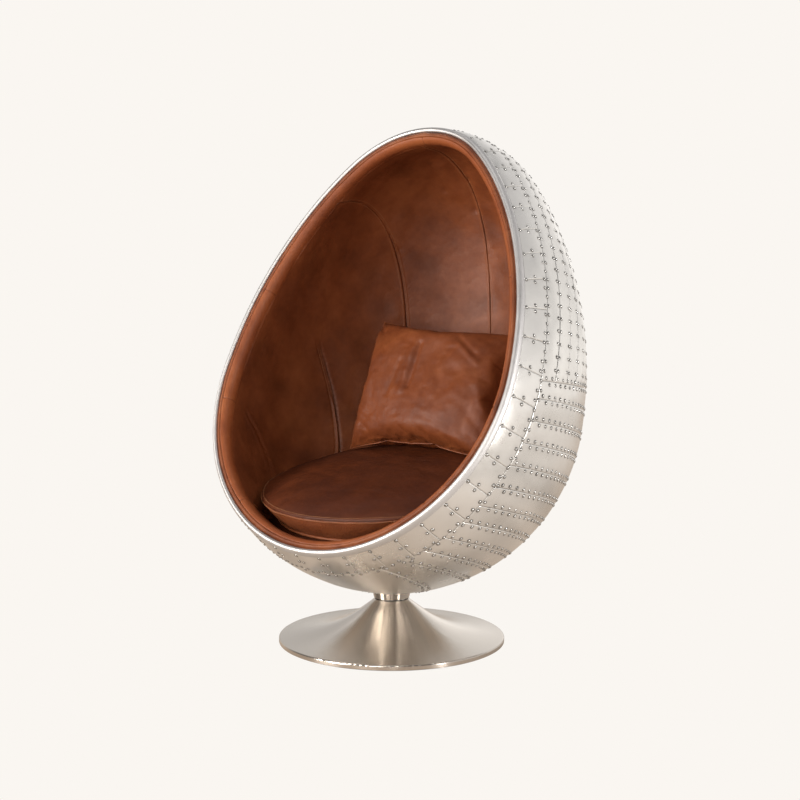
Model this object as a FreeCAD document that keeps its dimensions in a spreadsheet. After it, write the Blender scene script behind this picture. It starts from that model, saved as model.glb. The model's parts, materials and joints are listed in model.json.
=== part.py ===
# Upholstered pod chair: an egg-shaped riveted shell on a swivel trumpet base.
# Millimetres. Z up, X across the chair, the seat faces -Y, the floor is Z = 0,
# and the swivel axis is the Z axis.
import FreeCAD
import Part
import Sketcher
import math
import os
from FreeCAD import Vector, Placement, Rotation

doc = FreeCAD.newDocument("pod_chair")

# ---------------------------------------------------------------- dimensions
sheet = doc.addObject("Spreadsheet::Sheet", "Params")
PARAMS = [
    # egg: axis leans back, three tangent arcs make the meridian
    ("egg_tilt", 23.61), ("egg_cy", 59.1), ("egg_cz", 739.7), ("egg_len", 1249.0),
    ("rad_bottom", 487.0), ("rad_top", 339.0), ("rad_side", 1073.0), ("mouth_off", 178.9),
    # layers, as depth below the outer skin surface
    ("skin_thk", 1.2), ("grp_out", 1.6), ("grp_in", 6.6), ("foam_out", 7.0),
    ("foam_in", 42.2), ("lining_out", 42.7), ("lining_in", 44.7),
    ("seam_gap", 0.8), ("rim_course", 82.0), ("strip_pitch", 52.5),
    # mouth trim
    ("bead_rad", 6.0), ("bead_inset", 6.6), ("bead_depth", 2.0),
    ("piping_rad", 4.2), ("piping_inset", 19.2), ("piping_depth", 1.6),
    ("roll_rad", 12.5), ("roll_inset", 36.1), ("roll_depth", 17.0), ("roll_wall", 1.6),
    ("shell_edge", 8.6),
    # base
    ("base_rad", 290.0), ("band_top", 12.0), ("neck_rad", 44.6), ("neck_top", 105.4),
    ("spin_thk", 2.0), ("ballast_rad", 262.0), ("socket_out", 25.0), ("socket_in", 19.5),
    ("socket_top", 97.0), ("spindle_rad", 17.5), ("bush_clear", 0.05),
    ("plate_screw_pcd", 210.0), ("socket_bolt_pcd", 46.0), ("mount_bolt_pcd", 34.0),
    ("flange_rad", 43.4), ("collar_low", 108.4), ("collar_top", 128.3),
    ("inner_plate_rad", 92.0), ("mount_pad_rad", 112.0),
    # seat
    ("seat_tilt", 10.0), ("seat_z", 405.0), ("seat_mid", 66.0), ("seat_rad", 384.0),
    ("seat_crown", 50.0), ("seat_drop", 62.0), ("seat_foot", 343.0), ("seat_gap", 51.0),
    ("deck_top", 66.0), ("deck_thk", 15.0), ("cover_thk", 1.8),
    # back pillow
    ("pillow_w", 520.0), ("pillow_h", 385.0), ("pillow_t", 172.0), ("pillow_y", 180.0),
    ("pillow_z", 642.0), ("pillow_lean", 25.0), ("pillow_roll", 3.0), ("pillow_ball", 690.0),
    # rivets
    ("rivet_head", 3.4), ("rivet_high", 1.7), ("rivet_shank", 1.6), ("rivet_long", 6.2),
]
for row, (name, value) in enumerate(PARAMS, 1):
    sheet.set("A%d" % row, name)
    sheet.set("B%d" % row, repr(value))
    sheet.setAlias("B%d" % row, name)
doc.recompute()


def g(name):
    return float(sheet.get(name))


def ex(expr):
    """A sheet expression's value: names are looked up in the sheet."""
    out, word = [], ""
    for ch in expr + " ":
        if ch.isalnum() or ch == "_" or (ch == "." and word):
            word += ch
        else:
            if word:
                out.append(float(word) if word[0].isdigit() else g(word))
                word = ""
            if ch in "+-*/()":
                out.append(ch)
    # recursive descent over + - * / and brackets
    pos = [0]

    def atom():
        tok = out[pos[0]]
        pos[0] += 1
        if tok == "(":
            v = add()
            pos[0] += 1
            return v
        if tok == "-":
            return -atom()
        return tok

    def mul():
        v = atom()
        while pos[0] < len(out) and out[pos[0]] in ("*", "/"):
            op = out[pos[0]]
            pos[0] += 1
            w = atom()
            v = v * w if op == "*" else v / w
        return v

    def add():
        v = mul()
        while pos[0] < len(out) and out[pos[0]] in ("+", "-"):
            op = out[pos[0]]
            pos[0] += 1
            w = mul()
            v = v + w if op == "+" else v - w
        return v

    return add()


def bound(expr):
    """The same expression with every name pointing at the sheet."""
    out, word = "", ""
    for ch in expr + " ":
        if ch.isalnum() or ch == "_" or (ch == "." and word):
            word += ch
        else:
            if word:
                out += word if word[0].isdigit() else "Params." + word
                word = ""
            out += ch
    return out.strip()


# ---------------------------------------------------------------- helpers
def new_body(name, place=None):
    body = doc.addObject("PartDesign::Body", name)
    if place is not None:
        body.Placement = place
    return body


def sketch_on(body, name, role):
    sk = body.newObject("Sketcher::SketchObject", name)
    plane = [f for f in body.Origin.OriginFeatures if f.Role == role][0]
    sk.AttachmentSupport = [(plane, "")]
    sk.MapMode = "FlatFace"
    return sk


def polygon(sk, pts):
    """A closed polygon whose corners are bound to the sheet. pts are (x expression, y expression)."""
    xy = [(ex(a), ex(b)) for a, b in pts]
    n = len(xy)
    for i in range(n):
        j = (i + 1) % n
        sk.addGeometry(Part.LineSegment(Vector(xy[i][0], xy[i][1], 0), Vector(xy[j][0], xy[j][1], 0)), False)
    for i in range(n):
        sk.addConstraint(Sketcher.Constraint("Coincident", i, 2, (i + 1) % n, 1))
    for i, (a, b) in enumerate(pts):
        for kind, e, v, axis in (("DistanceX", a, xy[i][0], -2), ("DistanceY", b, xy[i][1], -1)):
            if abs(v) < 1e-9:
                sk.addConstraint(Sketcher.Constraint("PointOnObject", i, 1, axis))
            else:
                c = sk.addConstraint(Sketcher.Constraint(kind, -1, 1, i, 1, v))
                sk.setExpression("Constraints[%d]" % c, bound(e))
    return sk


def turned(name, pts, place=None):
    """A body turned about its Z axis from a profile of (radius, height) expressions."""
    body = new_body(name, place)
    sk = polygon(sketch_on(body, name + "_profile", "XZ_Plane"), pts)
    rev = body.newObject("PartDesign::Revolution", name + "_turn")
    rev.Profile = sk
    rev.ReferenceAxis = (sk, ["V_Axis"])
    rev.Angle = 360.0
    body.Tip = rev
    return body


def drilled(body, name, pcd, rad, low, high, count):
    """Holes on a bolt circle, cut from height low up to high."""
    sk = sketch_on(body, name + "_sketch", "XY_Plane")
    sk.addGeometry(Part.Circle(Vector(ex(pcd), 0, 0), Vector(0, 0, 1), ex(rad)), False)
    sk.addConstraint(Sketcher.Constraint("PointOnObject", 0, 3, -1))
    c = sk.addConstraint(Sketcher.Constraint("DistanceX", -1, 1, 0, 3, ex(pcd)))
    sk.setExpression("Constraints[%d]" % c, bound(pcd))
    c = sk.addConstraint(Sketcher.Constraint("Radius", 0, ex(rad)))
    sk.setExpression("Constraints[%d]" % c, bound(rad))
    sk.AttachmentOffset = Placement(Vector(0, 0, ex(low)), Rotation())
    sk.setExpression("AttachmentOffset.Base.z", bound(low))
    pocket = body.newObject("PartDesign::Pocket", name)
    pocket.Profile = sk
    pocket.Type = 0
    pocket.Reversed = True
    pocket.Length = ex(high + "-(" + low + ")")
    pocket.setExpression("Length", bound(high + "-(" + low + ")"))
    pattern = body.newObject("PartDesign::PolarPattern", name + "_ring")
    pattern.Originals = [pocket]
    pattern.Axis = (sk, ["N_Axis"])
    pattern.Angle = 360.0
    pattern.Occurrences = count
    # the pattern turns about the Z axis of the body
    z_axis = [f for f in body.Origin.OriginFeatures if f.Role == "Z_Axis"][0]
    pattern.Axis = (z_axis, [""])
    body.Tip = pattern
    return pattern


def feature(name, shape):
    obj = doc.addObject("Part::Feature", name)
    obj.Shape = shape
    return obj


def put(name, shapes):
    """A group node of separate solids."""
    solids = []
    for s in shapes:
        solids += s.Solids
    return feature(name, Part.makeCompound(solids) if len(solids) > 1 else solids[0])


NODES = {}


def half(p0, n):
    """A large block that fills the side of a plane its normal n points away from."""
    n = Vector(n).normalize()
    size = 4000.0
    box = Part.makeBox(size, size, size, Vector(-size / 2, -size / 2, -size))
    box.Placement = Placement(Vector(p0), Rotation(Vector(0, 0, 1), n))
    return box


def clip(shape, planes):
    for p0, n in planes:
        shape = shape.common(half(p0, n))
    return shape


# ---------------------------------------------------------------- the egg
EGG = Placement(Vector(0, g("egg_cy"), g("egg_cz")), Rotation(Vector(1, 0, 0), -g("egg_tilt")))
MOUTH = g("mouth_off")
S_B = -g("egg_len") / 2 + g("rad_bottom")
S_T = g("egg_len") / 2 - g("rad_top")


def arc_centres():
    d = S_T - S_B
    a = g("rad_side") - g("rad_bottom")
    b = g("rad_side") - g("rad_top")
    x = (a * a - b * b + d * d) / (2 * d)
    return S_B + x, -math.sqrt(a * a - x * x)


S_C, R_C = arc_centres()


def unit(x, y):
    n = math.hypot(x, y)
    return x / n, y / n


U_B = unit(S_B - S_C, -R_C)   # (along the axis, outwards) at the lower junction
U_T = unit(S_T - S_C, -R_C)


def junctions(inset):
    rb, rt = g("rad_bottom") - inset, g("rad_top") - inset
    return ((S_B + rb * U_B[0], rb * U_B[1]), (S_T + rt * U_T[0], rt * U_T[1]))


def radius_at(s, inset=0.0):
    """The egg's radius at a place along its axis."""
    (sb, _), (st, _) = junctions(inset)
    if s < sb:
        return math.sqrt(max((g("rad_bottom") - inset) ** 2 - (s - S_B) ** 2, 0.0))
    if s > st:
        return math.sqrt(max((g("rad_top") - inset) ** 2 - (s - S_T) ** 2, 0.0))
    return R_C + math.sqrt((g("rad_side") - inset) ** 2 - (s - S_C) ** 2)


def normal_at(x, b, s):
    """Outward normal, in the egg's own axes, at a point of its surface."""
    (sb, _), (st, _) = junctions(0.0)
    if s < sb:
        v = Vector(x, b, s - S_B)
    elif s > st:
        v = Vector(x, b, s - S_T)
    else:
        rho = math.hypot(x, b)
        v = Vector(x / rho * (rho - R_C), b / rho * (rho - R_C), s - S_C)
    return v.normalize()


def egg(name, inset):
    """The whole egg at a depth below the skin, as a turned body with its axis leaning back."""
    body = new_body(name, EGG)
    sk = sketch_on(body, name + "_meridian", "XZ_Plane")
    (js1, jr1), (js2, jr2) = junctions(inset)
    rb, rs, rt = (g(k) - inset for k in ("rad_bottom", "rad_side", "rad_top"))

    def arc(p, q, r):
        return Part.Arc(Vector(*p, 0), Vector(*q, 0), Vector(*r, 0))

    a1 = math.atan2(js1 - S_B, jr1)
    a2 = math.atan2(js2 - S_T, jr2)
    mid1 = (rb * math.cos((a1 - math.pi / 2) / 2), S_B + rb * math.sin((a1 - math.pi / 2) / 2))
    ms = (js1 + js2) / 2
    mid2 = (R_C + math.sqrt(rs ** 2 - (ms - S_C) ** 2), ms)
    mid3 = (rt * math.cos((a2 + math.pi / 2) / 2), S_T + rt * math.sin((a2 + math.pi / 2) / 2))
    low, top = (0, S_B - rb), (0, S_T + rt)
    sk.addGeometry(arc(low, mid1, (jr1, js1)), False)
    sk.addGeometry(arc((jr1, js1), mid2, (jr2, js2)), False)
    sk.addGeometry(arc((jr2, js2), mid3, top), False)
    sk.addGeometry(Part.LineSegment(Vector(*top, 0), Vector(*low, 0)), False)
    for i in (2, 3):
        sk.addConstraint(Sketcher.Constraint("Coincident", i, 2, (i + 1) % 4, 1))
    sk.addConstraint(Sketcher.Constraint("Tangent", 0, 2, 1, 1))
    sk.addConstraint(Sketcher.Constraint("Tangent", 1, 2, 2, 1))
    sk.addConstraint(Sketcher.Constraint("PointOnObject", 0, 1, -2))
    sk.addConstraint(Sketcher.Constraint("PointOnObject", 2, 2, -2))
    sk.addConstraint(Sketcher.Constraint("PointOnObject", 0, 3, -2))
    sk.addConstraint(Sketcher.Constraint("PointOnObject", 2, 3, -2))
    for i, (key, val) in enumerate((("rad_bottom", rb), ("rad_side", rs), ("rad_top", rt))):
        c = sk.addConstraint(Sketcher.Constraint("Radius", i, val))
        sk.setExpression("Constraints[%d]" % c, "Params.%s - %s" % (key, LAYER.get(name, repr(inset))))
    c = sk.addConstraint(Sketcher.Constraint("DistanceY", 0, 1, 2, 2, rb + rt + S_T - S_B))
    sk.setExpression("Constraints[%d]" % c, "Params.egg_len - 2 * %s" % LAYER.get(name, repr(inset)))
    c = sk.addConstraint(Sketcher.Constraint("DistanceY", 0, 1, -1, 1, rb - S_B))
    sk.setExpression("Constraints[%d]" % c, "Params.egg_len / 2 - %s" % LAYER.get(name, repr(inset)))
    rev = body.newObject("PartDesign::Revolution", name + "_turn")
    rev.Profile = sk
    rev.ReferenceAxis = (sk, ["V_Axis"])
    rev.Angle = 360.0
    body.Tip = rev
    return body


LAYER = {
    "egg_skin_out": "0", "egg_skin_in": "Params.skin_thk", "egg_grp_out": "Params.grp_out",
    "egg_grp_in": "Params.grp_in", "egg_foam_out": "Params.foam_out", "egg_foam_in": "Params.foam_in",
    "egg_lining_out": "Params.lining_out", "egg_lining_in": "Params.lining_in",
}
INSET = {
    "egg_skin_out": 0.0, "egg_skin_in": g("skin_thk"), "egg_grp_out": g("grp_out"),
    "egg_grp_in": g("grp_in"), "egg_foam_out": g("foam_out"), "egg_foam_in": g("foam_in"),
    "egg_lining_out": g("lining_out"), "egg_lining_in": g("lining_in"),
}
EGGS = {k: egg(k, INSET[k]) for k in LAYER}
doc.recompute()


def solid_egg(inset):
    """A plain egg solid at any depth, for trimming."""
    (js1, jr1), (js2, jr2) = junctions(inset)
    rb, rs, rt = (g(k) - inset for k in ("rad_bottom", "rad_side", "rad_top"))
    a1 = (math.atan2(js1 - S_B, jr1) - math.pi / 2) / 2
    a2 = (math.atan2(js2 - S_T, jr2) + math.pi / 2) / 2
    ms = (js1 + js2) / 2
    low, top = Vector(0, 0, S_B - rb), Vector(0, 0, S_T + rt)
    j1, j2 = Vector(jr1, 0, js1), Vector(jr2, 0, js2)
    edges = [
        Part.Arc(low, Vector(rb * math.cos(a1), 0, S_B + rb * math.sin(a1)), j1).toShape(),
        Part.Arc(j1, Vector(R_C + math.sqrt(rs ** 2 - (ms - S_C) ** 2), 0, ms), j2).toShape(),
        Part.Arc(j2, Vector(rt * math.cos(a2), 0, S_T + rt * math.sin(a2)), top).toShape(),
        Part.LineSegment(top, low).toShape(),
    ]
    solid = Part.Face(Part.Wire(edges)).revolve(Vector(0, 0, 0), Vector(0, 0, 1), 360)
    if solid.ShapeType != "Solid":
        solid = solid.Solids[0]
    solid.Placement = EGG
    return solid


def world(x, b, s):
    return EGG.multVec(Vector(x, b, s))


def turn(v):
    return EGG.Rotation.multVec(Vector(*v))


BACKWARD = turn((0, 1, 0))       # into the pod, square to the mouth
AXIS = turn((0, 0, 1))


def behind(depth):
    """Keeps what lies deeper than this behind the mouth plane."""
    return (world(0, depth - MOUTH, 0), turn((0, -1, 0)))


def before(depth):
    return (world(0, depth - MOUTH, 0), turn((0, 1, 0)))


# ---------------------------------------------------------------- mouth curve
def mouth_points(inset, depth):
    """The mouth's curve at a depth below the skin and behind the mouth plane, as arcs in the egg's (x, s)."""
    b = depth - MOUTH
    (js1, _), (js2, _) = junctions(inset)
    rb = math.sqrt((g("rad_bottom") - inset) ** 2 - b * b)
    rt = math.sqrt((g("rad_top") - inset) ** 2 - b * b)

    def side(s):
        r = radius_at(s, inset)
        x = math.sqrt(r * r - b * b)
        ds = -(s - S_C) / math.sqrt((g("rad_side") - inset) ** 2 - (s - S_C) ** 2)
        t = unit(r * ds / x, 1.0)
        return (x, s), t

    return b, rb, rt, side, js1, js2


def arc_from(p, t, q):
    """Three points of the arc that leaves p along t and ends at q."""
    cx, cy = q[0] - p[0], q[1] - p[1]
    c = math.hypot(cx, cy)
    ux, uy = cx / c, cy / c
    along = t[0] * ux + t[1] * uy
    px, py = t[0] - along * ux, t[1] - along * uy
    n = math.hypot(px, py)
    if n < 1e-9:
        return p, ((p[0] + q[0]) / 2, (p[1] + q[1]) / 2), q
    phi = math.atan2(n, along)
    sag = c / 2 * math.tan(phi / 2)
    return p, ((p[0] + q[0]) / 2 + px / n * sag, (p[1] + q[1]) / 2 + py / n * sag), q


def biarc(p1, t1, p2, t2):
    vx, vy = p2[0] - p1[0], p2[1] - p1[1]
    tx, ty = t1[0] + t2[0], t1[1] + t2[1]
    dot = t1[0] * t2[0] + t1[1] * t2[1]
    vt = vx * tx + vy * ty
    k = 2 * (1 - dot)
    d = (-vt + math.sqrt(vt * vt + k * (vx * vx + vy * vy))) / k
    q1 = (p1[0] + d * t1[0], p1[1] + d * t1[1])
    q2 = (p2[0] - d * t2[0], p2[1] - d * t2[1])
    pm = ((q1[0] + q2[0]) / 2, (q1[1] + q2[1]) / 2)
    first = arc_from(p1, t1, pm)
    back = arc_from(p2, (-t2[0], -t2[1]), pm)
    return [first, (pm, back[1], p2)]


def mouth_arcs(inset, depth):
    b, rb, rt, side, s1, s2 = mouth_points(inset, depth)
    n = 3
    right = []
    for i in range(n):
        a, c = s1 + (s2 - s1) * i / n, s1 + (s2 - s1) * (i + 1) / n
        (p, t), (q, u) = side(a), side(c)
        right += biarc(p, t, q, u)
    left = [tuple((-x, s) for x, s in reversed(arc)) for arc in reversed(right)]
    pj, qj = right[0][0], right[-1][2]
    top = (qj, (0.0, S_T + rt), (-qj[0], qj[1]))
    low = ((-pj[0], pj[1]), (0.0, S_B - rb), pj)
    return b, right + [top] + left + [low]


def mouth_wire(inset, depth):
    b, arcs = mouth_arcs(inset, depth)
    edges = [Part.Arc(*[world(x, b, s) for x, s in arc]).toShape() for arc in arcs]
    return Part.Wire(edges)


def rope(inset, depth, rad):
    """A round section carried round the mouth."""
    path = mouth_wire(inset, depth)
    start = path.OrderedEdges[0]
    p = start.valueAt(start.FirstParameter)
    t = start.tangentAt(start.FirstParameter)
    ring = Part.Wire([Part.Circle(p, t, rad).toShape()])
    pipe = path.makePipeShell([ring], True, False)
    return pipe if pipe.ShapeType == "Solid" else Part.Solid(pipe.Shells[0])


# ---------------------------------------------------------------- base
def spun_curve():
    """The trumpet's outer meridian from the neck to the edge."""
    pts = [(44.6, 105.4), (46.2, 103.4), (50.6, 99.2), (58.0, 93.6), (68.0, 86.2), (80.0, 77.4), (100.0, 63.8),
           (120.0, 52.2), (140.0, 42.6), (160.0, 34.8), (180.0, 28.6), (200.0, 23.8), (220.0, 20.0),
           (240.0, 17.2), (260.0, 15.1), (275.0, 14.0), (286.5, 13.4)]
    kr, kz = g("neck_rad") / 44.6, g("neck_top") / 105.4
    ke = (g("base_rad") - 3.5) / 286.5
    out = []
    for r, z in pts:
        f = (r - 44.6) / (286.5 - 44.6)
        out.append((r * ((1 - f) * kr + f * ke), z * kz if z > 13.5 else z * g("band_top") / 12.0))
    return out


def base_trumpet():
    body = new_body("base_trumpet")
    sk = sketch_on(body, "base_trumpet_profile", "XZ_Plane")
    pts = spun_curve()
    t = g("spin_thk")
    top = Part.BSplineCurve()
    top.interpolate([Vector(r, z, 0) for r, z in pts], False)
    inner_pts = []
    n = len(pts)
    for i, (r, z) in enumerate(pts):
        u = top.parameter(Vector(r, z, 0))
        d = top.tangent(u)[0]
        d = d if d.x >= 0 else d * -1
        inner_pts.append(Vector(r, z, 0) + Vector(d.y, -d.x, 0) * t)
    low = Part.BSplineCurve()
    low.interpolate(inner_pts, False)
    R = g("base_rad")
    a, b = Vector(pts[-1][0], pts[-1][1], 0), Vector(R, pts[-1][1] - 3.5, 0)
    mid = Vector(R - 3.5 * (1 - math.sqrt(0.5)), pts[-1][1] - 3.5 * (1 - math.sqrt(0.5)), 0)
    ia = inner_pts[-1]
    ib = Vector(R - t, ia.y - (R - t - ia.x), 0)
    sk.addGeometry(top, False)
    sk.addGeometry(Part.Arc(a, mid, b), False)
    sk.addGeometry(Part.LineSegment(b, Vector(R, 1.9, 0)), False)
    sk.addGeometry(Part.LineSegment(Vector(R, 1.9, 0), Vector(R - t, 1.9, 0)), False)
    sk.addGeometry(Part.LineSegment(Vector(R - t, 1.9, 0), ib), False)
    sk.addGeometry(Part.LineSegment(ib, ia), False)
    sk.addGeometry(low, False)
    sk.addGeometry(Part.LineSegment(inner_pts[0], Vector(pts[0][0], pts[0][1], 0)), False)
    rev = body.newObject("PartDesign::Revolution", "base_trumpet_turn")
    rev.Profile = sk
    rev.ReferenceAxis = (sk, ["V_Axis"])
    rev.Angle = 360.0
    body.Tip = rev
    return body


NODES["base_trumpet"] = base_trumpet()
NODES["base_ballast"] = turned("base_ballast", [
    ("socket_out+0.3", "3.9"), ("ballast_rad", "3.9"), ("ballast_rad", "10.2"), ("165", "11.4"),
    ("150", "17.0"), ("socket_out+0.3", "17.0")])
drilled(NODES["base_ballast"], "ballast_screw_holes", "plate_screw_pcd", "2.55", "3.0", "9.6", 6)
drilled(NODES["base_ballast"], "ballast_bolt_holes", "socket_bolt_pcd", "4.05", "6.9", "18.0", 4)
NODES["base_bottom_plate"] = turned("base_bottom_plate", [
    ("0", "2.0"), ("base_rad-2.6", "2.0"), ("base_rad-2.6", "3.5"), ("0", "3.5")])
drilled(NODES["base_bottom_plate"], "bottom_plate_holes", "plate_screw_pcd", "2.8", "1.0", "4.5", 6)
NODES["base_floor_pad"] = turned("base_floor_pad", [
    ("0", "0"), ("base_rad-4", "0"), ("base_rad-4", "1.9"), ("0", "1.9")])
drilled(NODES["base_floor_pad"], "floor_pad_holes", "plate_screw_pcd", "5.4", "-1.0", "2.9", 6)
NODES["base_socket"] = turned("base_socket", [
    ("socket_in", "12.1"), ("socket_out", "12.1"), ("socket_out", "17.1"), ("62", "17.1"), ("62", "25.0"),
    ("socket_out+4", "25.0"), ("socket_out", "29.0"), ("socket_out", "socket_top"), ("socket_in", "socket_top")])
drilled(NODES["base_socket"], "socket_flange_holes", "socket_bolt_pcd", "4.3", "16.0", "26.0", 4)
NODES["bush_lower"] = turned("bush_lower", [
    ("spindle_rad+bush_clear", "14.0"), ("socket_in-0.02", "14.0"), ("socket_in-0.02", "36.0"), ("spindle_rad+bush_clear", "36.0")])
NODES["bush_upper"] = turned("bush_upper", [
    ("spindle_rad+bush_clear", "72.0"), ("socket_in-0.02", "72.0"), ("socket_in-0.02", "socket_top-1"), ("spindle_rad+bush_clear", "socket_top-1")])
NODES["thrust_washer"] = turned("thrust_washer", [
    ("spindle_rad+1", "socket_top+0.05"), ("27", "socket_top+0.05"), ("27", "socket_top+2.05"), ("spindle_rad+1", "socket_top+2.05")])


def hex_head(rad, z0, z1):
    pts = [Vector(rad * math.cos(math.radians(60 * i)), rad * math.sin(math.radians(60 * i)), z0) for i in range(7)]
    return Part.Face(Part.makePolygon(pts)).extrude(Vector(0, 0, z1 - z0))


def ring_of(shape, pcd, count):
    out = []
    for i in range(count):
        s = shape.copy()
        s.translate(Vector(pcd, 0, 0))
        s.rotate(Vector(0, 0, 0), Vector(0, 0, 1), 360.0 * i / count)
        out.append(s)
    return out


def pan_screw():
    head = Part.makeCylinder(4.5, 1.4, Vector(0, 0, 0.5))
    shank = Part.makeCylinder(2.5, 7.5, Vector(0, 0, 1.9))
    return head.fuse(shank).removeSplitter()


NODES["bottom_plate_screws"] = put("bottom_plate_screws", ring_of(pan_screw(), g("plate_screw_pcd"), 6))
socket_bolt = hex_head(7.2, 25.1, 30.4).fuse(Part.makeCylinder(4.0, 18.0, Vector(0, 0, 7.1))).removeSplitter()
NODES["socket_bolts"] = put("socket_bolts", ring_of(socket_bolt, g("socket_bolt_pcd"), 4))

# ---------------------------------------------------------------- swivel and mount
NODES["spindle"] = turned("spindle", [
    ("0", "21.0"), ("5.1", "21.0"), ("5.1", "12.0"), ("spindle_rad", "12.0"), ("spindle_rad", "socket_top+2.15"), ("25", "socket_top+2.15"),
    ("25", "108.0"), ("flange_rad", "108.0"), ("flange_rad", "114.0"), ("0", "114.0")])
drilled(NODES["spindle"], "spindle_flange_holes", "mount_bolt_pcd", "4.2", "107.0", "115.0", 4)
NODES["retaining_washer"] = turned("retaining_washer", [
    ("5.4", "8.3"), ("23", "8.3"), ("23", "11.95"), ("5.4", "11.95")])
retaining = hex_head(8.2, 4.3, 8.2).fuse(Part.makeCylinder(5.0, 12.5, Vector(0, 0, 8.2))).removeSplitter()
NODES["retaining_bolt"] = put("retaining_bolt", [retaining])
NODES["collar"] = turned("collar", [
    ("neck_rad-0.6", "collar_low"), ("neck_rad+1.0", "collar_low"), ("50.4", "collar_top"), ("48.6", "collar_top")])


def sphere_at(p, r):
    return Part.makeSphere(r, p)


BOWL = world(0, 0, S_B)
seat_pad = Part.makeCylinder(g("flange_rad") - 0.1, 30, Vector(0, 0, 114.1)).cut(sphere_at(BOWL, g("rad_bottom") - g("grp_out") + 0.1))
for hole in ring_of(Part.makeCylinder(4.3, 60, Vector(0, 0, 100)), g("mount_bolt_pcd"), 4):
    seat_pad = seat_pad.cut(hole)
NODES["shell_seat_pad"] = put("shell_seat_pad", [seat_pad])
mount_pad = Part.makeCylinder(g("mount_pad_rad"), 32, Vector(0, 0, 120)).common(sphere_at(BOWL, g("rad_bottom") - g("grp_in") - 0.1))
for hole in ring_of(Part.makeCylinder(4.3, 60, Vector(0, 0, 120)), g("mount_bolt_pcd"), 4):
    mount_pad = mount_pad.cut(hole)
NODES["mount_pad"] = put("mount_pad", [mount_pad])
NODES["inner_plate"] = turned("inner_plate", [
    ("0", "152.1"), ("inner_plate_rad", "152.1"), ("inner_plate_rad", "158.1"), ("0", "158.1")])
drilled(NODES["inner_plate"], "inner_plate_holes", "mount_bolt_pcd", "4.2", "151.0", "159.0", 4)
mount_bolt = hex_head(7.2, 102.7, 107.9).fuse(Part.makeCylinder(4.0, 62.0, Vector(0, 0, 107.9))).removeSplitter()
NODES["mount_bolts"] = put("mount_bolts", ring_of(mount_bolt, g("mount_bolt_pcd"), 4))
mount_nut = hex_head(7.2, 158.2, 165.0).cut(Part.makeCylinder(4.05, 20, Vector(0, 0, 150)))
NODES["mount_nuts"] = put("mount_nuts", ring_of(mount_nut, g("mount_bolt_pcd"), 4))

# ---------------------------------------------------------------- shell
E = {k: b.Shape for k, b in EGGS.items()}
skin = E["egg_skin_out"].cut(E["egg_skin_in"])
grp = clip(E["egg_grp_out"].cut(E["egg_grp_in"]), [behind(g("shell_edge"))])
for hole in ring_of(Part.makeCylinder(4.3, 60, Vector(0, 0, 110)), g("mount_bolt_pcd"), 4):
    grp = grp.cut(hole)
NODES["grp_shell"] = put("grp_shell", [grp])

NODES["rim_bead"] = put("rim_bead", [rope(g("bead_inset"), g("bead_depth"), g("bead_rad"))])
NODES["rim_piping"] = put("rim_piping", [rope(g("piping_inset"), g("piping_depth"), g("piping_rad"))])
roll_out = rope(g("roll_inset"), g("roll_depth"), g("roll_rad"))
roll_in = rope(g("roll_inset"), g("roll_depth"), g("roll_rad") - g("roll_wall"))
roll_core = rope(g("roll_inset"), g("roll_depth"), g("roll_rad") - g("roll_wall") - 0.3)
NODES["rim_roll_cover"] = put("rim_roll_cover", [roll_out.cut(roll_in)])
NODES["rim_roll_foam"] = put("rim_roll_foam", [roll_core])
NODES["tack_strip"] = put("tack_strip", [clip(E["egg_foam_out"].cut(solid_egg(15.0)), [behind(9.0), before(34.0)])])

# ---------------------------------------------------------------- skin sheets
GAP = g("seam_gap")
L1 = g("rim_course")
PITCH = g("strip_pitch")


def lat_plane(k):
    """The k-th cross seam of the lower half: s = s0 + m * b."""
    s0, m = LAT[k]
    return s0 + m * 100.0, m


LAT = [(-113.0, 0.33), (-156.0, 0.275), (-209.0, 0.245), (-262.0, 0.225), (-316.0, 0.205),
       (-369.0, 0.195), (-415.0, 0.178), (-456.0, 0.158), (-496.0, 0.140),
       (-531.0, 0.120), (-561.5, 0.107), (-585.0, 0.0044)]
BANDS = 8


def above(k, gap):
    c, m = lat_plane(k)
    n = turn((0, m, -1))
    return (world(0, 0, c) - Vector(n).normalize() * gap, n)


def below(k, gap):
    c, m = lat_plane(k)
    n = turn((0, -m, 1))
    return (world(0, 0, c) - Vector(n).normalize() * gap, n)


def mouth_rail(inset, depth, count):
    """Points, upward tangents and outward normals at equal steps round the mouth, half a step off the lowest point."""
    b, arcs = mouth_arcs(inset, depth)
    pts = []
    for arc in arcs:
        e = Part.Arc(*[Vector(x, 0, s) for x, s in arc]).toShape()
        n = 60
        for i in range(n):
            u = e.FirstParameter + (e.LastParameter - e.FirstParameter) * i / n
            pts.append((e.valueAt(u), e.tangentAt(u)))
    start = min(range(len(pts)), key=lambda i: pts[i][0].z)
    pts = pts[start:] + pts[:start]
    acc = [0.0]
    for i in range(len(pts)):
        acc.append(acc[-1] + (pts[(i + 1) % len(pts)][0] - pts[i][0]).Length)
    total, out = acc[-1], []
    for k in range(count):
        want = total * (k + 0.5) / count
        i = max(j for j in range(len(pts)) if acc[j] <= want)
        f = (want - acc[i]) / (acc[i + 1] - acc[i])
        p = pts[i][0] + (pts[(i + 1) % len(pts)][0] - pts[i][0]) * f
        t = (pts[i][1] + (pts[(i + 1) % len(pts)][1] - pts[i][1]) * f).normalize()
        out.append((p, t, Vector(t.z, 0, -t.x)))
    return out, total


RIM_COUNT = 46
RAIL, RIM_LENGTH = mouth_rail(0.0, 0.0, RIM_COUNT)


def lean(s, x):
    """How far a rim seam leans upwards on its way back, per unit of depth: none low down, half high up, none at the crown."""
    m = 0.5 * min(max((s + 120.0) / 240.0, 0.0), 1.0)
    if s > 380.0:
        m *= min(abs(x) / 260.0, 1.0)
    return m


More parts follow.
